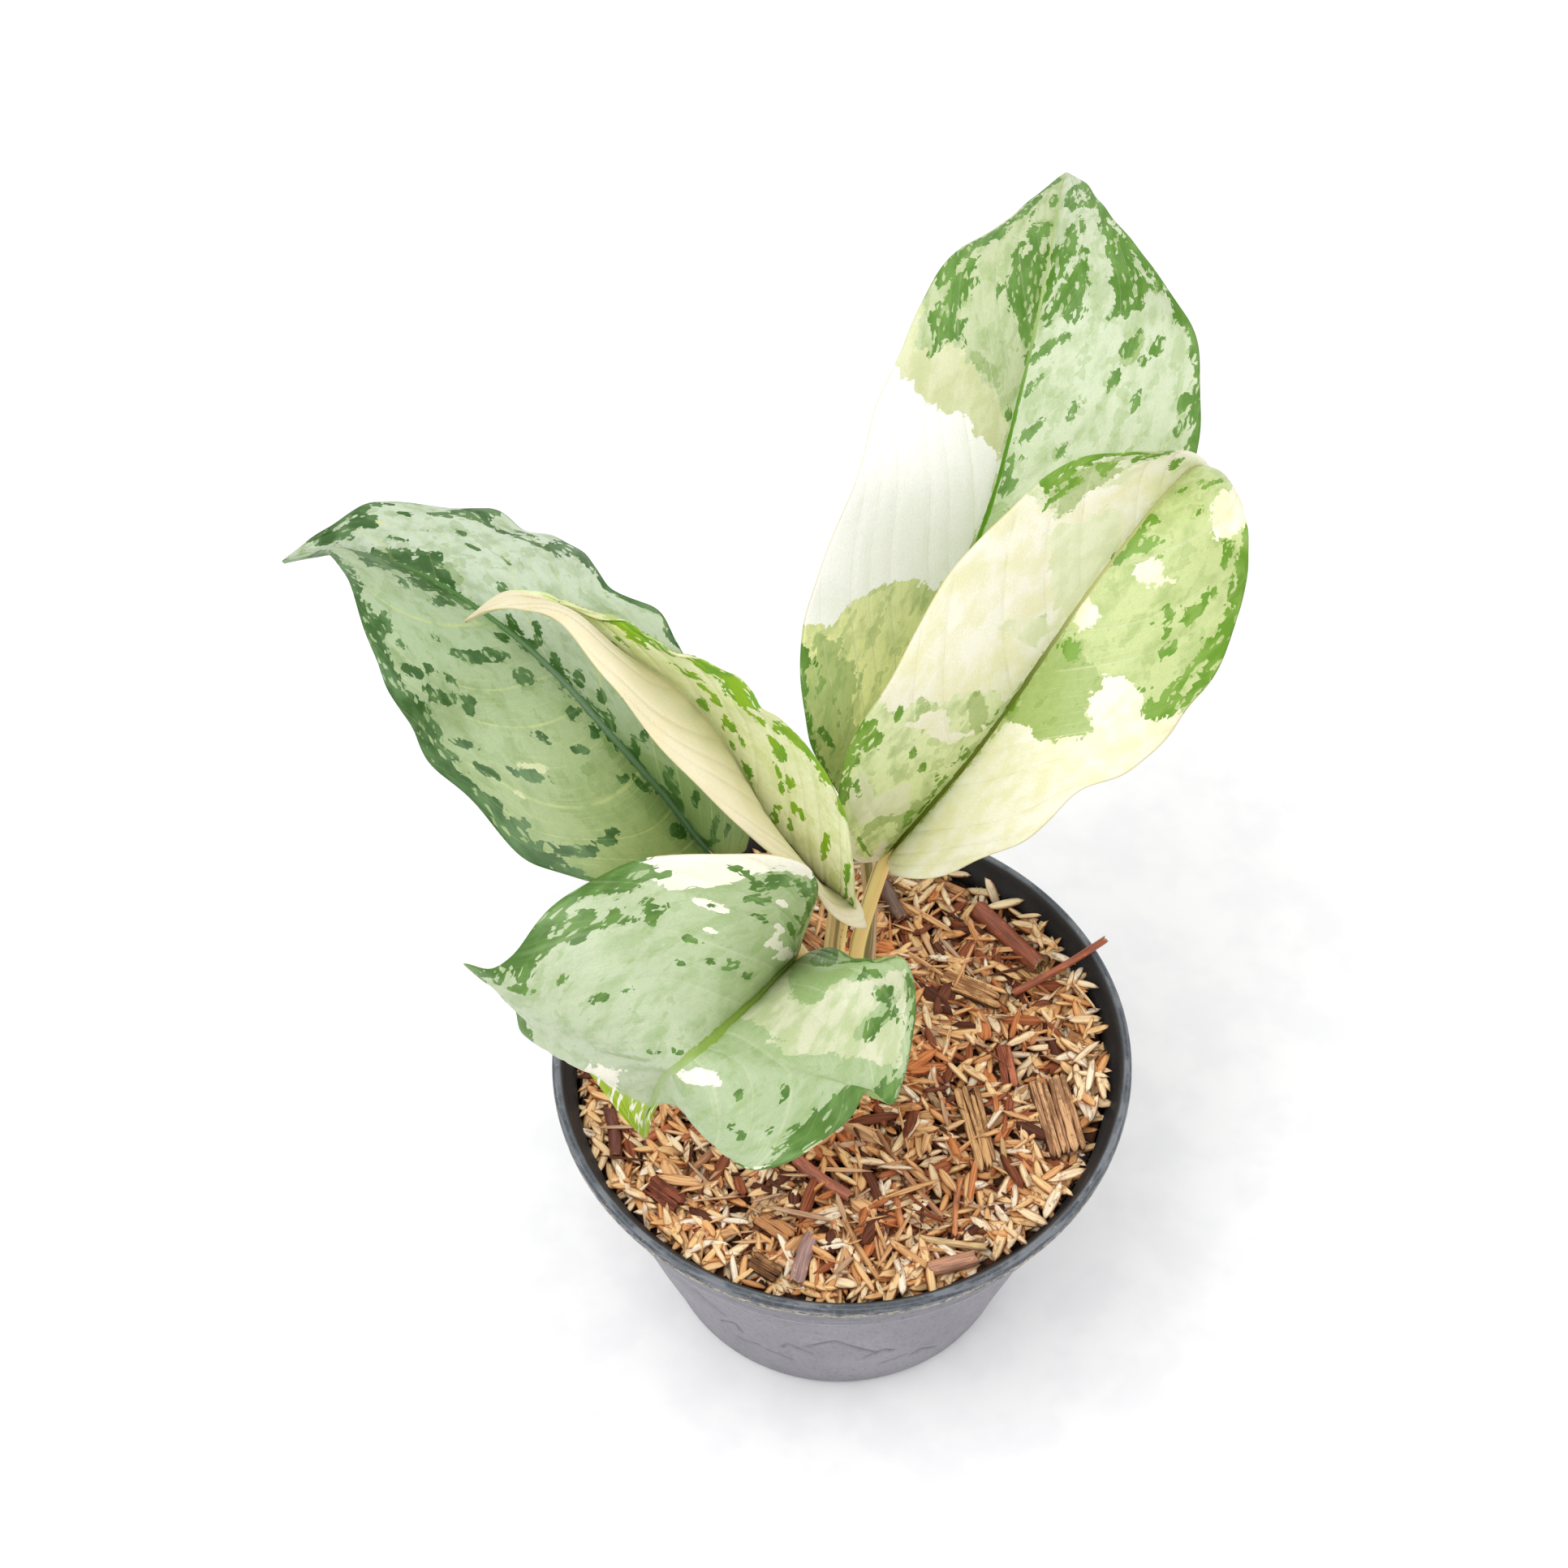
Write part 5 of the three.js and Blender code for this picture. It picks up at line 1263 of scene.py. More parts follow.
# Tall leaf behind: broad and nearly flat, with a white flank, a cream and sage shoulder, and
# a dark green mosaic from the middle to the pointed tip.
blade(
    "leaf_c", arch=(0.07, 0.07), flows=((0.36, 0.1), (0.15, 0.35)), seed=3.9, veins=13, flecks=0.9,
    rib_width=0.9, veined=0.75,
    ruffles=[
        (-1, 89, 7, (0.7, -0.6, -0.4)), (-1, 75, 3, (0.7, -0.4, -0.3)),
        (-1, 65, 3, (-0.7, 0.0, 0.0)), (1, 62, 4, (1.3, 0.3, 0.2)), (1, 83, 3, (0.6, 0.3, 0.2)),
        (1, 72, 3, (-0.4, 0.0, 0.0)), (-1, 45, 4, (0.5, 0.3, 0.6)), (-1, 34, 4, (-0.4, 0.0, -0.4)),
    ],
    stations=[
        [[5, 36, 147]],
        [[8, 41, 153], [-2, 31, 165], [15, 29, 166]],
        [[15, 49, 168], [-9, 31, 187], [36, 36, 187]],
        [[23, 61, 184], [-11, 44, 203], [57, 49, 200]],
        [[30, 73, 200], [-7, 56, 217], [76, 72, 206]],
        [[37, 87, 215], [2, 71, 236], [84, 85, 221]],
        [[42, 102, 228], [7, 88, 243], [86, 98, 233]],
        [[46, 116, 237], [15, 104, 250], [83, 115, 242]],
        [[50, 134, 242], [24, 128, 251], [72, 124, 257]],
        [[53, 151, 242], [37, 146, 245], [64, 143, 253]],
        [[55, 164, 240], [47, 161, 241], [61, 160, 246]],
        [[57, 174, 237]],
    ],
    tones={
        # the left half's lower tone is pale yellow, painted lighter still: painted light where leaf
        # D shades the base
        "left": ((254, 252, 176), (194, 204, 162)), "right": ((166, 184, 122), (202, 212, 182)),
        "sage": (144, 171, 98), "pale": ((218, 220, 180), (204, 208, 158)),
        "cream": ((250, 249, 246), (246, 246, 240)), "dark": ((82, 128, 30), (104, 146, 58)),
        "vein": (205, 213, 176), "rim": (133, 162, 82), "rib": ((87, 142, 0), (172, 190, 122)),
        "rib_turn": 0.72, "under": (176, 190, 144),
    },
    dark=[
        [(-105, 71), (-92, 77), (-85, 83), (-75, 90), (-60, 90), (-45, 89), (-50, 86), (-55, 84),
         (-68, 81), (-60, 79), (-55, 76), (-65, 77), (-70, 76), (-80, 74), (-84, 70), (-92, 69)],
        [(-105, 84), (-78, 90), (-60, 92), (-30, 93), (-12, 96), (-105, 101)],
        [(-78, 73), (-70, 73), (-68, 70), (-60, 70), (-63, 67), (-68, 66), (-60, 65), (-55, 62),
         (-65, 63), (-70, 62), (-76, 61), (-82, 64), (-90, 65), (-88, 67), (-80, 68), (-82, 70)],
        [(-36, 81), (-30, 81), (-22, 80), (-20, 81), (-13, 82), (-5, 81), (-6, 79), (-2, 76),
         (0, 72), (0, 60), (-5, 60), (-8, 63), (-15, 65), (-20, 66), (-30, 67), (-35, 69),
         (-33, 72), (-36, 74), (-34, 77)],
        [(-22, 90), (0, 90), (-2, 88), (-5, 86), (-12, 85), (-20, 87)],
        [(0, 66), (5, 65), (15, 66), (20, 64), (30, 66), (37, 68), (42, 70), (44, 74), (38, 76),
         (42, 79), (36, 80), (25, 79), (15, 76), (5, 77), (2, 72)],
        [(20, 85), (25, 88), (40, 90), (60, 91), (90, 92), (105, 95), (105, 68), (95, 68), (90, 74),
         (85, 72), (88, 68), (80, 68), (72, 66), (60, 65), (50, 65), (60, 68), (58, 69), (65, 72),
         (70, 75), (68, 78), (80, 80), (83, 82), (70, 82), (62, 83), (50, 83), (40, 82), (25, 84)],
        [(105, 36), (96, 40), (94, 50), (96, 58), (92, 64), (95, 68), (105, 68)],
        [(-105, 29), (-98, 28.5), (-93, 26), (-97, 23), (-96, 18), (-92, 14), (-98, 10), (-105, 8)],
    ],
    dark_spots=[
        (-43, 83.5, 4, 1.5), (-7, 53.7, 4, 0.9), (50, 57.5, 4, 1.2), (31, 54, 4, 0.9),
        (62, 54.5, 3.5, 1.0), (10, 51.5, 5, 0.9), (60, 61.5, 8, 1.1), (66, 59.5, 3, 0.9),
        (76, 61, 5, 1.0), (28, 49, 4, 0.7), (5, 47.5, 4, 1.2), (7, 45.5, 4, 0.9), (6, 57, 3, 0.8),
        (90, 54.5, 3, 1.0), (87, 51, 3, 1.0), (11, 62, 8, 0.9), (20, 63, 4, 0.9), (48, 79, 6, 2.0),
        (-40, 69, 3, 0.8), (-82, 18, 8, 0.8), (-97, 27, 3, 1.2), (-90, 26.5, 2, 0.7),
        (-94, 15, 3, 1.0),
    ],
    dark_gaps=[
        [(44, 89), (46, 85), (54, 84), (56, 88), (50, 90)],
        [(64, 89), (66, 84), (75, 83), (76, 87), (70, 89)],
        [(3, 67), (40, 74), (42, 76), (3, 68.5)], [(-12, 79), (-5, 76), (-8, 75), (-14, 77)],
        [(-30, 76), (-26, 73), (-22, 75), (-26, 77)], [(88, 78), (96, 74), (99, 76), (90, 80)],
    ],
    sage=[
        [(-105, 5), (-30, 2), (-36, 10), (-40, 14), (-52, 19.5), (-60, 20), (-58, 22), (-54, 24.5),
         (-62, 26), (-70, 27), (-74, 28.5), (-80, 29.5), (-88, 29.5), (-92, 27), (-105, 30)],
        [(-2, 20), (105, 15), (105, 34), (60, 38), (-2, 44)],
    ],
    sage_spots=[
        (-30, 59, 10, 1.0), (-42, 60, 6, 0.9), (60, 61, 9, 1.6), (20, 42, 10, 1.5),
        (55, 47, 12, 1.2),
    ],
    cream=[
        [(-105, 61), (-90, 58), (-82, 57.5), (-78, 56), (-72, 55), (-66, 54.5), (-60, 54.5),
         (-55, 53.5), (-48, 53), (-42, 53.5), (-35, 53), (-25, 51), (-18, 50.5), (-10, 49.5),
         (-3, 48), (-3, 36), (-20, 34.5), (-30, 35.5), (-50, 36), (-60, 35), (-70, 34), (-78, 32.5),
         (-86, 30.5), (-95, 31), (-105, 31)],
    ],
    pale=[
        [(-105, 69), (-97, 67), (-94, 65), (-90, 62), (-82, 61.5), (-74, 61), (-68, 62.5),
         (-60, 62), (-54, 61.5), (-46, 59.5), (-36, 58.5), (-28, 57), (-20, 56), (-10, 53.5),
         (-3, 52), (-3, 46), (-50, 50), (-105, 56)],
    ],
)


# Front right leaf: a broad blade arched over to the right. Cream fills most of both halves,
# with a mid green field at the right of the midrib and a mosaic at the base.
blade(
    "leaf_d", arch=(0.08, 0.08), flows=((0.15, 0.05), (0.2, 0.06)), seed=5.1, veins=11, flecks=0.6,
    rib_width=0.9,
    ruffles=[
        (-1, 79, 7, (0.0, -1.4, -1.0)), (1, 52, 3.5, (-1.1, 0.7, 0.5)),
        (1, 41, 2.5, (0.5, -0.5, -0.4)), (1, 35, 3, (-0.7, 0.7, 0.5)),
        (1, 27, 3, (0.5, -0.4, -0.4)), (1, 14, 5, (1.2, -1.3, -1.0)),
    ],
    stations=[
        [[10, 26, 141]],
        [[13, 26, 149], [1, 19, 155], [14, 12, 156]],
        [[20, 25, 165], [-2, 17, 180], [28, 1, 177]],
        [[28, 25, 182], [1, 19, 201], [41, -4, 194]],
        [[37, 28, 199], [11, 24, 222], [56, 0, 208]],
        [[46, 34, 214], [22, 37, 239], [71, 10, 209]],
        [[55, 42, 226], [33, 43, 251], [83, 22, 215]],
        [[64, 51, 234], [45, 51, 259], [91, 37, 227]],
        [[73, 62, 238], [58, 58, 260], [92, 43, 243]],
        [[82, 74, 236], [72, 65, 253], [91, 56, 244]],
        [[89, 84, 223], [83, 81, 232], [90, 75, 230]],
        [[92, 92, 206]],
    ],
    tones={
        "left": ((222, 233, 168), (222, 225, 192)), "right": ((168, 188, 110), (196, 208, 144)),
        "sage": (149, 172, 92), "pale": ((228, 230, 194), (216, 220, 178)),
        "cream": ((240, 236, 218), (230, 226, 186)), "dark": ((98, 144, 20), (124, 162, 58)),
        "vein": (205, 212, 165), "rim": (170, 184, 96), "rib": ((100, 114, 0), (190, 190, 120)),
        "rib_turn": 0.6, "under": (205, 205, 165),
    },
    dark=[
        [(-105, 31), (-88, 31), (-80, 30), (-80, 27), (-90, 27), (-88, 24), (-85, 20), (-92, 18),
         (-105, 18)],
        [(-105, 62), (-90, 62), (-88, 64), (-91, 70), (-91, 74), (-84, 77), (-68, 75), (-62, 76),
         (-64, 80), (-76, 83), (-105, 86)],
        [(-86, 70), (-82, 72.5), (-73, 72), (-70, 68.5), (-80, 69)],
        [(-84, 66), (-78, 66), (-75, 61.5), (-80, 60), (-84, 62)],
        [(-40, 80), (-33, 81.5), (-22, 79), (-27, 77)],
        [(68, 50), (73, 48.5), (80, 48), (87, 49), (93, 50.5), (98, 53), (105, 60), (105, 78),
         (93, 74), (87, 70), (87, 66), (90, 62), (85, 60), (81, 58), (80, 53), (78, 50.5)],
        [(73, 70), (76, 72), (85, 72.5), (82, 70), (80, 69), (77, 67)],
        [(1, 60), (5, 62), (10, 64), (15, 64.5), (22, 67), (20, 68), (10, 66.5), (8, 68),
         (15, 69.5), (2, 70), (0, 65)],
        [(2, 50), (12, 49.8), (22, 49), (20, 48), (10, 47), (5, 48)],
        [(44, 57.5), (50, 60), (56, 61), (56, 59.5), (50, 58), (47, 57)],
    ],
    dark_spots=[
        (-79, 33, 6, 1.0), (-47, 29, 5, 0.8), (-32, 27, 3, 0.7), (-16, 26, 3, 0.8),
        (-9, 25, 3, 2.2), (-6, 35.5, 2, 1.2), (-8, 30.5, 4, 1.0), (-80, 21.5, 5, 0.9),
        (-65, 11.5, 8, 1.3), (-56, 9.5, 5, 0.8), (-13, 16.5, 7, 1.6), (-15, 9, 6, 2.4),
        (-70, 75, 5, 0.9), (74, 64.3, 5, 1.1), (65, 60, 5, 1.3), (71, 62, 3, 1.0),
        (62, 56, 3.5, 1.1), (56, 57.3, 2, 0.7), (4, 39, 4, 1.2), (12, 75.5, 4, 0.8),
        (25, 78.5, 3, 0.8), (38, 79, 6, 1.2), (50, 81, 8, 0.9), (40, 73, 3, 1.5), (25, 65, 4, 0.6),
        (-6, 20, 2, 2.0), (66, 51, 3, 0.8),
    ],
    dark_gaps=[[(86, 57), (90, 57), (91, 53), (87, 53)]],
    sage=[
        [(0, 37), (10, 37), (25, 38), (35, 37.5), (50, 39), (60, 42), (40, 45.5), (44, 48),
         (20, 50), (0, 50)],
        [(-70, 12), (-30, 17), (-8, 12), (-8, 22), (-30, 20), (-60, 17)],
        [(-90, 62), (-65, 60), (-46, 63), (-58, 68), (-62, 72), (-70, 71), (-85, 74), (-88, 68)],
    ],
    sage_spots=[(-20, 47, 9, 1.6), (-36, 45, 5, 1.0), (-20, 36, 14, 1.6), (-60, 34, 10, 1.0)],
    cream=[
        [(-105, 34), (-88, 32), (-80, 33), (-65, 35.5), (-52, 35), (-40, 37.5), (-20, 39.5),
         (-7, 38.5), (-2, 42), (-2, 101), (-105, 101)],
        [(-70, 31.5), (-60, 34), (-45, 35.5), (-30, 33), (-20, 33), (-10, 34.5), (-25, 31),
         (-50, 32)],
        [(-42, 10), (-35, 12.5), (-27, 12), (-22, 9), (-25, 6), (-35, 5), (-45, 7)],
        [(-105, 16), (-85, 15), (-80, 13), (-82, 10), (-60, 6.5), (-45, 8), (-30, 4), (-30, -1),
         (-105, -1)],
        [(38, 49), (45, 50), (50, 50.8), (62, 50.5), (70, 49), (75, 48), (85, 50), (95, 51.5),
         (105, 51), (105, -1), (8, -1), (2, 36), (10, 37), (25, 38), (35, 37.5), (48, 38.5),
         (50, 40), (57, 40.5), (60, 42), (52, 44), (40, 45.5), (45, 47.5)],
        [(15, 62), (22, 64), (30, 64.5), (35, 63), (43, 63), (38, 62), (32, 61), (25, 60.5),
         (18, 61)],
        [(-3, 55), (8, 55), (14, 54), (15, 52.5), (10, 51), (3, 51.5), (-2, 53)],
        [(50, 78), (60, 80), (70, 80), (90, 88), (105, 92), (105, 78), (95, 75.5), (85, 73.5),
         (75, 72), (65, 70.5), (60, 70.5), (55, 73), (50, 75)],
    ],
    cream_gaps=[
        [(-66, 57.5), (-50, 56), (-38, 54), (-20, 52), (-5, 49.5), (-2, 56), (-3, 63), (-12, 65),
         (-25, 66.5), (-40, 66.5), (-46, 63), (-62, 60)],
        [(-28, 83), (-20, 84.5), (-11, 84), (-11, 78), (-16, 76.5), (-25, 77.5)],
        [(-60, 67), (-52, 69), (-45, 70), (-50, 74), (-58, 74)],
        [(-32, 48.5), (-20, 50), (-10, 49), (-12, 46), (-28, 45.5)],
        [(-42, 47), (-36, 47.5), (-35, 44.5), (-42, 45)],
        [(-105, 60), (-86, 60), (-78, 60), (-65, 60), (-60, 72), (-58, 80), (-70, 84), (-105, 88)],
    ],
    pale=[
        [(-68, 57), (-38, 53), (-2, 48.5), (-2, 64), (-12, 68), (-44, 68), (-46, 63), (-62, 60)],
        [(-30, 84), (-10, 86), (-10, 77), (-26, 76)], [(-60, 66), (-44, 70), (-50, 76), (-60, 75)],
        [(-34, 49), (-8, 50), (-8, 45), (-30, 44)], [(-44, 48), (-34, 48), (-34, 44), (-44, 44.5)],
        [(-85, 23.5), (-72, 23.5), (-60, 21), (-40, 24), (-33, 24), (-20, 20), (-25, 18), (-35, 18),
         (-50, 17), (-70, 15), (-80, 17), (-90, 20), (-88, 22)],
    ],
)


# Front leaf: broad and round, spread flat over the pot and folded over the rim side, with a
# large cream patch, a green patch at the base and a drooping tip.
blade(
    "leaf_e", arch=(0.06, 0.06), flows=((0.2, 0.1), (0.5, -0.05)), seed=6.4, veins=12, flecks=0.3,
    rib_width=1.9, veined=0.6,
    ruffles=[
        (1, 54, 4, (-1.0, 0.9, 0.7)), (1, 62, 2.4, (0.0, -1.9, -1.4)), (1, 66, 2, (-1.2, 0.0, 0.0)),
        (1, 70, 2.6, (0.5, 3.0, 2.2)), (1, 73.5, 2, (2.4, 2.2, 1.6)),
        (-1, 44, 2, (0.3, -1.6, -1.2)), (-1, 48.5, 2, (-0.7, 2.8, 2.0)),
        (-1, 14, 2.5, (0.0, -0.8, -0.6)), (-1, 23, 2.5, (0.3, 0.4, 0.8)),
    ],
    stations=[
        [[-11, 0, 137]],
        [[-13, -3, 140], [-4, -8, 154], [-10, -4, 157]],
        [[-17, -12, 147], [5, -22, 170], [-7, -6, 178]],
        [[-22, -23, 154], [14, -26, 173], [-13, -7, 190]],
        [[-28, -34, 161], [16, -33, 163], [-29, -10, 196]],
        [[-33, -43, 166], [12, -52, 162], [-49, -8, 191]],
        [[-37, -48, 168], [3, -59, 163], [-64, -18, 191]],
        [[-41, -49, 164], [-11, -74, 168], [-77, -28, 182]],
        [[-43, -45, 155], [-24, -74, 162], [-89, -26, 173]],
        [[-45, -42, 144], [-29, -59, 158], [-80, -31, 154]],
        [[-47, -39, 132], [-40, -44, 145], [-67, -29, 140]],
        [[-49, -39, 124], [-46, -39, 131], [-55, -39, 128]],
        [[-49, -40, 118]],
    ],
    tones={
        "left": ((163, 184, 130), (172, 188, 150)), "right": ((166, 185, 130), (188, 200, 168)),
        "sage": (142, 168, 106), "pale": ((212, 213, 184), (186, 197, 152)),
        "cream": ((244, 240, 226), (238, 234, 214)), "dark": ((72, 112, 34), (100, 138, 62)),
        "vein": (192, 202, 164), "rim": (110, 150, 84), "rib": ((134, 162, 66), (160, 182, 118)),
        "rib_turn": 0.62, "under": (181, 192, 120), "tip": (0.83, (158, 185, 35)),
    },
    dark=[
        [(-90, 34), (-85, 34), (-78, 36), (-68, 37), (-70, 35.5), (-78, 34), (-80, 32), (-74, 30),
         (-80, 28), (-85, 29), (-85, 32)],
        [(-80, 27), (-62, 27), (-65, 25), (-70, 23), (-75, 25)],
        [(-105, 66), (-90, 60), (-82, 55), (-82, 50), (-88, 47), (-86, 43), (-92, 41), (-105, 40)],
        [(-105, 40), (-97, 38), (-95, 28), (-105, 26)],
        [(-105, 22), (-75, 20), (-50, 18), (-30, 14), (-35, 12), (-60, 10), (-105, 5)],
        [(87, 60), (105, 61), (105, 41), (95, 40), (85, 40), (85, 43), (88, 47), (95, 50), (90, 53),
         (87, 55)],
        [(65, 43), (70, 42), (75, 43), (76, 46), (83, 47), (82, 49), (90, 50), (88, 54), (80, 53),
         (78, 50.5), (72, 47), (70, 45), (63, 44)],
        [(70, 31), (80, 30.5), (86, 28.5), (88, 26), (86, 22), (82, 19.5), (76, 20), (80, 24),
         (76, 27.5)],
        [(40, 17), (50, 17), (60, 19), (75, 18.5), (105, 20), (105, 13), (70, 16), (50, 16)],
        [(105, 60), (92, 62), (86, 70), (92, 80), (105, 84)],
        [(-105, 62), (-92, 66), (-90, 74), (-105, 80)],
    ],
    dark_spots=[
        (-40, 54, 6, 0.9), (-60, 51.5, 5, 0.8), (-65, 60, 4, 1.0), (-55, 59, 3, 0.8),
        (-72, 56.5, 3, 0.9), (67, 28.5, 3, 1.2), (56, 29, 4, 0.8), (90, 32, 4, 0.9),
        (85, 31, 5, 0.7), (33, 34, 3, 1.8), (22, 30, 3, 1.2), (50, 39.5, 3, 0.8), (36, 37, 2, 0.8),
        (52, 54.5, 3.5, 0.8), (73, 56.5, 3, 0.9), (46, 52, 4, 0.7), (82, 61.5, 5, 1.0),
        (45, 21, 7, 1.4), (56, 21, 3, 1.2), (7, 52, 3, 0.9), (12, 55, 3, 0.7), (-75, 15, 10, 1.5),
        (-50, 14, 8, 1.0), (68, 36, 1.6, 0.6), (41, 42.5, 2, 0.6),
    ],
    dark_gaps=[[(-88, 12), (-70, 13), (-62, 17), (-80, 17)]],
    sage=[
        [(-45, 30), (-40, 31.5), (-30, 30), (-22, 26), (-20, 22), (-10, 18), (-15, 12), (-30, 15),
         (-50, 20), (-65, 24), (-55, 26.5), (-48, 27)],
        [(-105, 0), (-5, 0), (-8, 10), (-20, 13), (-50, 18), (-105, 24)],
    ],
    sage_spots=[(50, 22, 14, 2.0), (80, 24, 12, 3.0), (-10, 60, 8, 2.0), (20, 62, 8, 2.0)],
    cream=[
        [(79, 40), (90, 41), (105, 41), (105, 17), (93, 18), (91, 22), (91, 27), (88, 30),
         (83, 32.5), (81, 35), (80, 38)],
        [(24, 22), (30, 25), (40, 27.5), (45, 26), (38, 23.5), (32, 21.5), (27, 18), (24, 14),
         (24, 9), (14, 8), (16, 15), (20, 19)],
        [(-105, 50), (-97, 52), (-97, 66), (-105, 68)],
        [(-28, 54), (-20, 56), (-5, 58), (-2, 55), (-10, 53), (-20, 51.5)],
        [(96, 24), (105, 26), (105, 4), (60, 2), (70, 10), (92, 16)],
        [(20, 70), (35, 72), (60, 78), (70, 90), (50, 90), (30, 80)],
    ],
    cream_spots=[
        (67, 35.5, 5, 1.2), (46, 24.5, 4, 0.9), (82, 20.5, 4, 0.9), (65, 25.5, 2.5, 0.8),
        (54, 36.6, 1.8, 0.6),
    ],
    pale=[
        [(-97, 39), (-85, 40), (-60, 40), (-50, 41), (-38, 41.5), (-25, 39.5), (-33, 39), (-20, 36),
         (-10, 34), (-2, 32), (0, 30), (0, 16), (-8, 13), (-15, 16), (-12, 19), (-20, 23),
         (-22, 26), (-30, 30), (-40, 31.5), (-45, 30), (-47, 27.5), (-55, 26.5), (-65, 27),
         (-80, 27), (-88, 26), (-95, 26), (-93, 30), (-95, 35)],
    ],
    pale_gaps=[
        [(-90, 34), (-85, 34), (-78, 36), (-68, 37), (-70, 34), (-78, 32), (-74, 29), (-85, 29)],
    ],
)


# Leaf stalks. Fleshy cream stalks striped with olive, grooved along the inner side. The lower
# half of each widens into a sheath that wraps the next one; one of them ends in a pointed ear.
STALK_RADIUS = 2.1
STALK_RINGS = 64
STALK_SIDES = 32
SHEATH_WIDTH = 3.5
SHEATH_DEPTH = 2.7
# shares of the length: where the sheath narrows, and where the stalk thins under the midrib
SHEATH_END = (0.32, 0.48)
NECK = (0.8, 1)
NECK_THIN = 0.25
GROOVE_DEPTH = 0.3
GROOVE_LIPS = 0.14
STALKS = {
    # route from the crown, then the first part of the leaf's midrib that the stalk runs under
    "stalk_a": ((-3, 9, 94), (-6.5, 12, 106), (-18, 22, 122), (-29.6, 30.8, 133.2),
                (-34.5, 32, 139.6)),
    "stalk_b": ((0, 6, 103), (-2, 7, 114), (-3, 10, 127), (-2.2, 14.3, 138.6), (-5, 16, 144)),
    "stalk_c": ((3, 9, 96), (4.5, 12.5, 108), (7, 22, 126), (5, 35, 146.2), (7, 40.5, 151.5)),
    "stalk_d": ((2.8, 5, 95), (3.4, 6.5, 107), (3.6, 13, 123), (9.6, 25.3, 140.4),
                (12.5, 26.5, 147.5)),
    "stalk_e": ((-2, 1.5, 93), (-5, -1.5, 106), (-10, -1.5, 122), (-11, 0, 135.9),
                (-12.5, -2.5, 139)),
}
STALK_LOOKS = {
    # stoutness, inner side, main colour, streaks, groove, how much of it is streaked
    "stalk_a": (1.0, (-0.7, -0.4, 0.6), (222, 208, 146), (146, 142, 70), (104, 118, 40), 0.6),
    "stalk_b": (0.9, (0.5, -0.8, 0.2), (212, 190, 126), (130, 116, 72), (112, 112, 58), 0.75),
    "stalk_c": (0.85, (0, -0.9, 0.4), (196, 172, 128), (112, 104, 82), (110, 112, 60), 0.8),
    "stalk_d": (0.95, (-1.0, 0.1, 0.3), (234, 210, 134), (188, 168, 70), (112, 112, 36), 0.4),
    "stalk_e": (0.78, (-0.3, 0.6, 0.7), (216, 184, 134), (150, 128, 100), (190, 184, 100), 0.6),
}
STALK_SHADE = (0.97, 0.88, 0.84)
EAR_ROUTE = (
    (-0.6, 5.5, 128), (-0.2, 7, 133.5), (0.4, 9.3, 137), (2, 12.3, 141.6), (4.2, 16, 146.4),
)
EAR_WIDE = 1.5
EAR_DEEP = 0.6


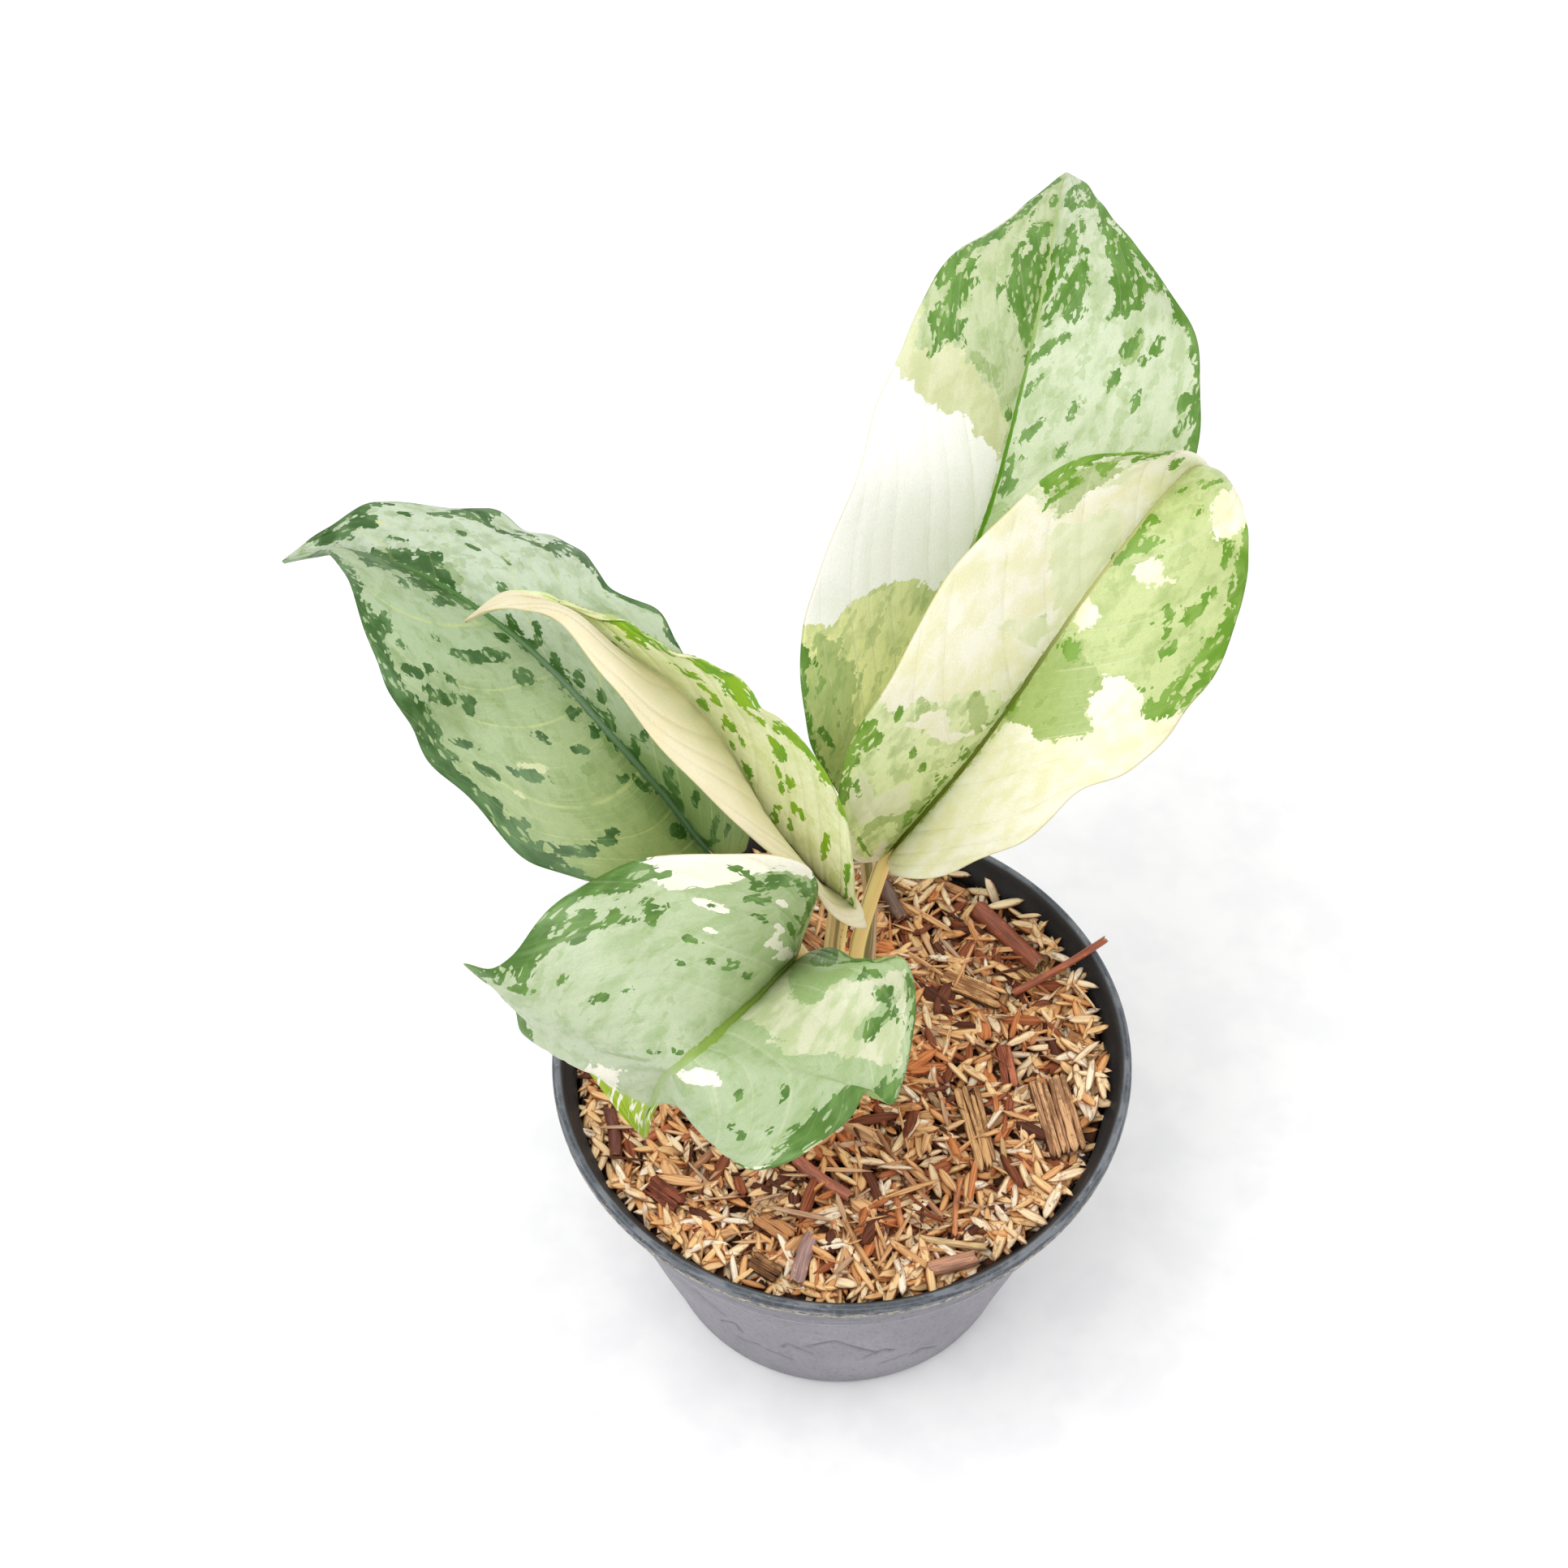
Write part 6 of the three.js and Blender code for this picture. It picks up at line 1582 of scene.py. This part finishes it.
def stalk_mesh(route, inner, wide, deep):
    """A grooved stalk of given half widths, drawn along its route."""
    shares = np.linspace(0, 1, STALK_RINGS)
    line, inner = smooth_line(route, shares), np.array(inner, float)
    ahead = unit(np.gradient(line, axis=0))
    front = unit(inner - ahead * (ahead @ inner)[:, None])
    side = np.cross(ahead, front)
    turns = np.arange(STALK_SIDES) / STALK_SIDES * math.tau - math.pi
    reach = 1 - GROOVE_DEPTH * np.exp(-(turns / 0.42) ** 2)
    reach += GROOVE_LIPS * np.exp(-((np.abs(turns) - 0.72) / 0.2) ** 2)
    reach *= 1 + 0.02 * np.sin(turns * 9)
    across = side[:, None] * (np.sin(turns) * reach)[:, None] * wide[:, None, None]
    inward = front[:, None] * (np.cos(turns) * reach)[:, None] * deep[:, None, None]
    length = float(np.linalg.norm(np.diff(line, axis=0), axis=1).sum())
    marks = {"along": np.repeat(shares * length, STALK_SIDES),
             "round": np.tile(turns * 2.4, STALK_RINGS),
             "groove": np.tile(np.exp(-((np.abs(turns) - 0.1) / 0.45) ** 2), STALK_RINGS)}
    faces = tube_faces(STALK_RINGS, STALK_SIDES, tips=False)
    return (line[:, None] + across + inward).reshape(-1, 3), faces, marks


def stalk_finish(name, main, streaks, groove, share, seed):
    """Smooth pale skin with lengthwise streaks and a greener groove."""
    skin = Finish(name, roughness=0.42, specular=0.45)
    place = skin.marks("along", "round")
    fine = skin.cloud(place, (60.0, 0.9, 1.0), detail=3, shift=seed)
    broad = skin.cloud(place, (30.0, 2.4, 1.0), detail=3, shift=seed + 3)
    colour = skin.blend(skin.rise(broad, 0.4, 0.62, 0.6), main, tinted(main, STALK_SHADE))
    colour = skin.blend(skin.rise(fine, 0.5, 0.66, share), colour, streaks)
    colour = skin.blend(skin.rise(skin.mark("groove"), 0.5, 0.85, 0.8), colour, groove)
    skin.bump(skin.sum(fine, broad), 0.0001, 0.5)
    return skin.done(colour)


shares = np.linspace(0, 1, STALK_RINGS)
wrap = np.interp(shares, SHEATH_END, (1, 0))
wrap = wrap * wrap * (3 - 2 * wrap)
thin = np.interp(shares, NECK, (1, NECK_THIN))
wide, deep = ((STALK_RADIUS + (sheath - STALK_RADIUS) * wrap) * thin
              for sheath in (SHEATH_WIDTH, SHEATH_DEPTH))
for order, (name, route) in enumerate(STALKS.items()):
    stout, inner, *looks = STALK_LOOKS[name]
    points, faces, marks = stalk_mesh(route, inner, wide * stout, deep * stout)
    if name == "stalk_d":
        point = np.sqrt(np.clip(1 - shares ** 2, 0.0001, 1))
        ear, ear_faces, ear_marks = stalk_mesh(EAR_ROUTE, inner, EAR_WIDE * point, EAR_DEEP * point)
        ear_marks["groove"] *= 0
        faces += shifted(ear_faces, len(points))
        points = np.vstack([points, ear])
        marks = {key: np.append(marks[key], ear_marks[key]) for key in marks}
    skin = stalk_finish(name + "_skin", *looks, seed=order * 9.0)
    belongs(solid(name + "_piece", points, faces, skin, marks), "leaf_stalk", name)
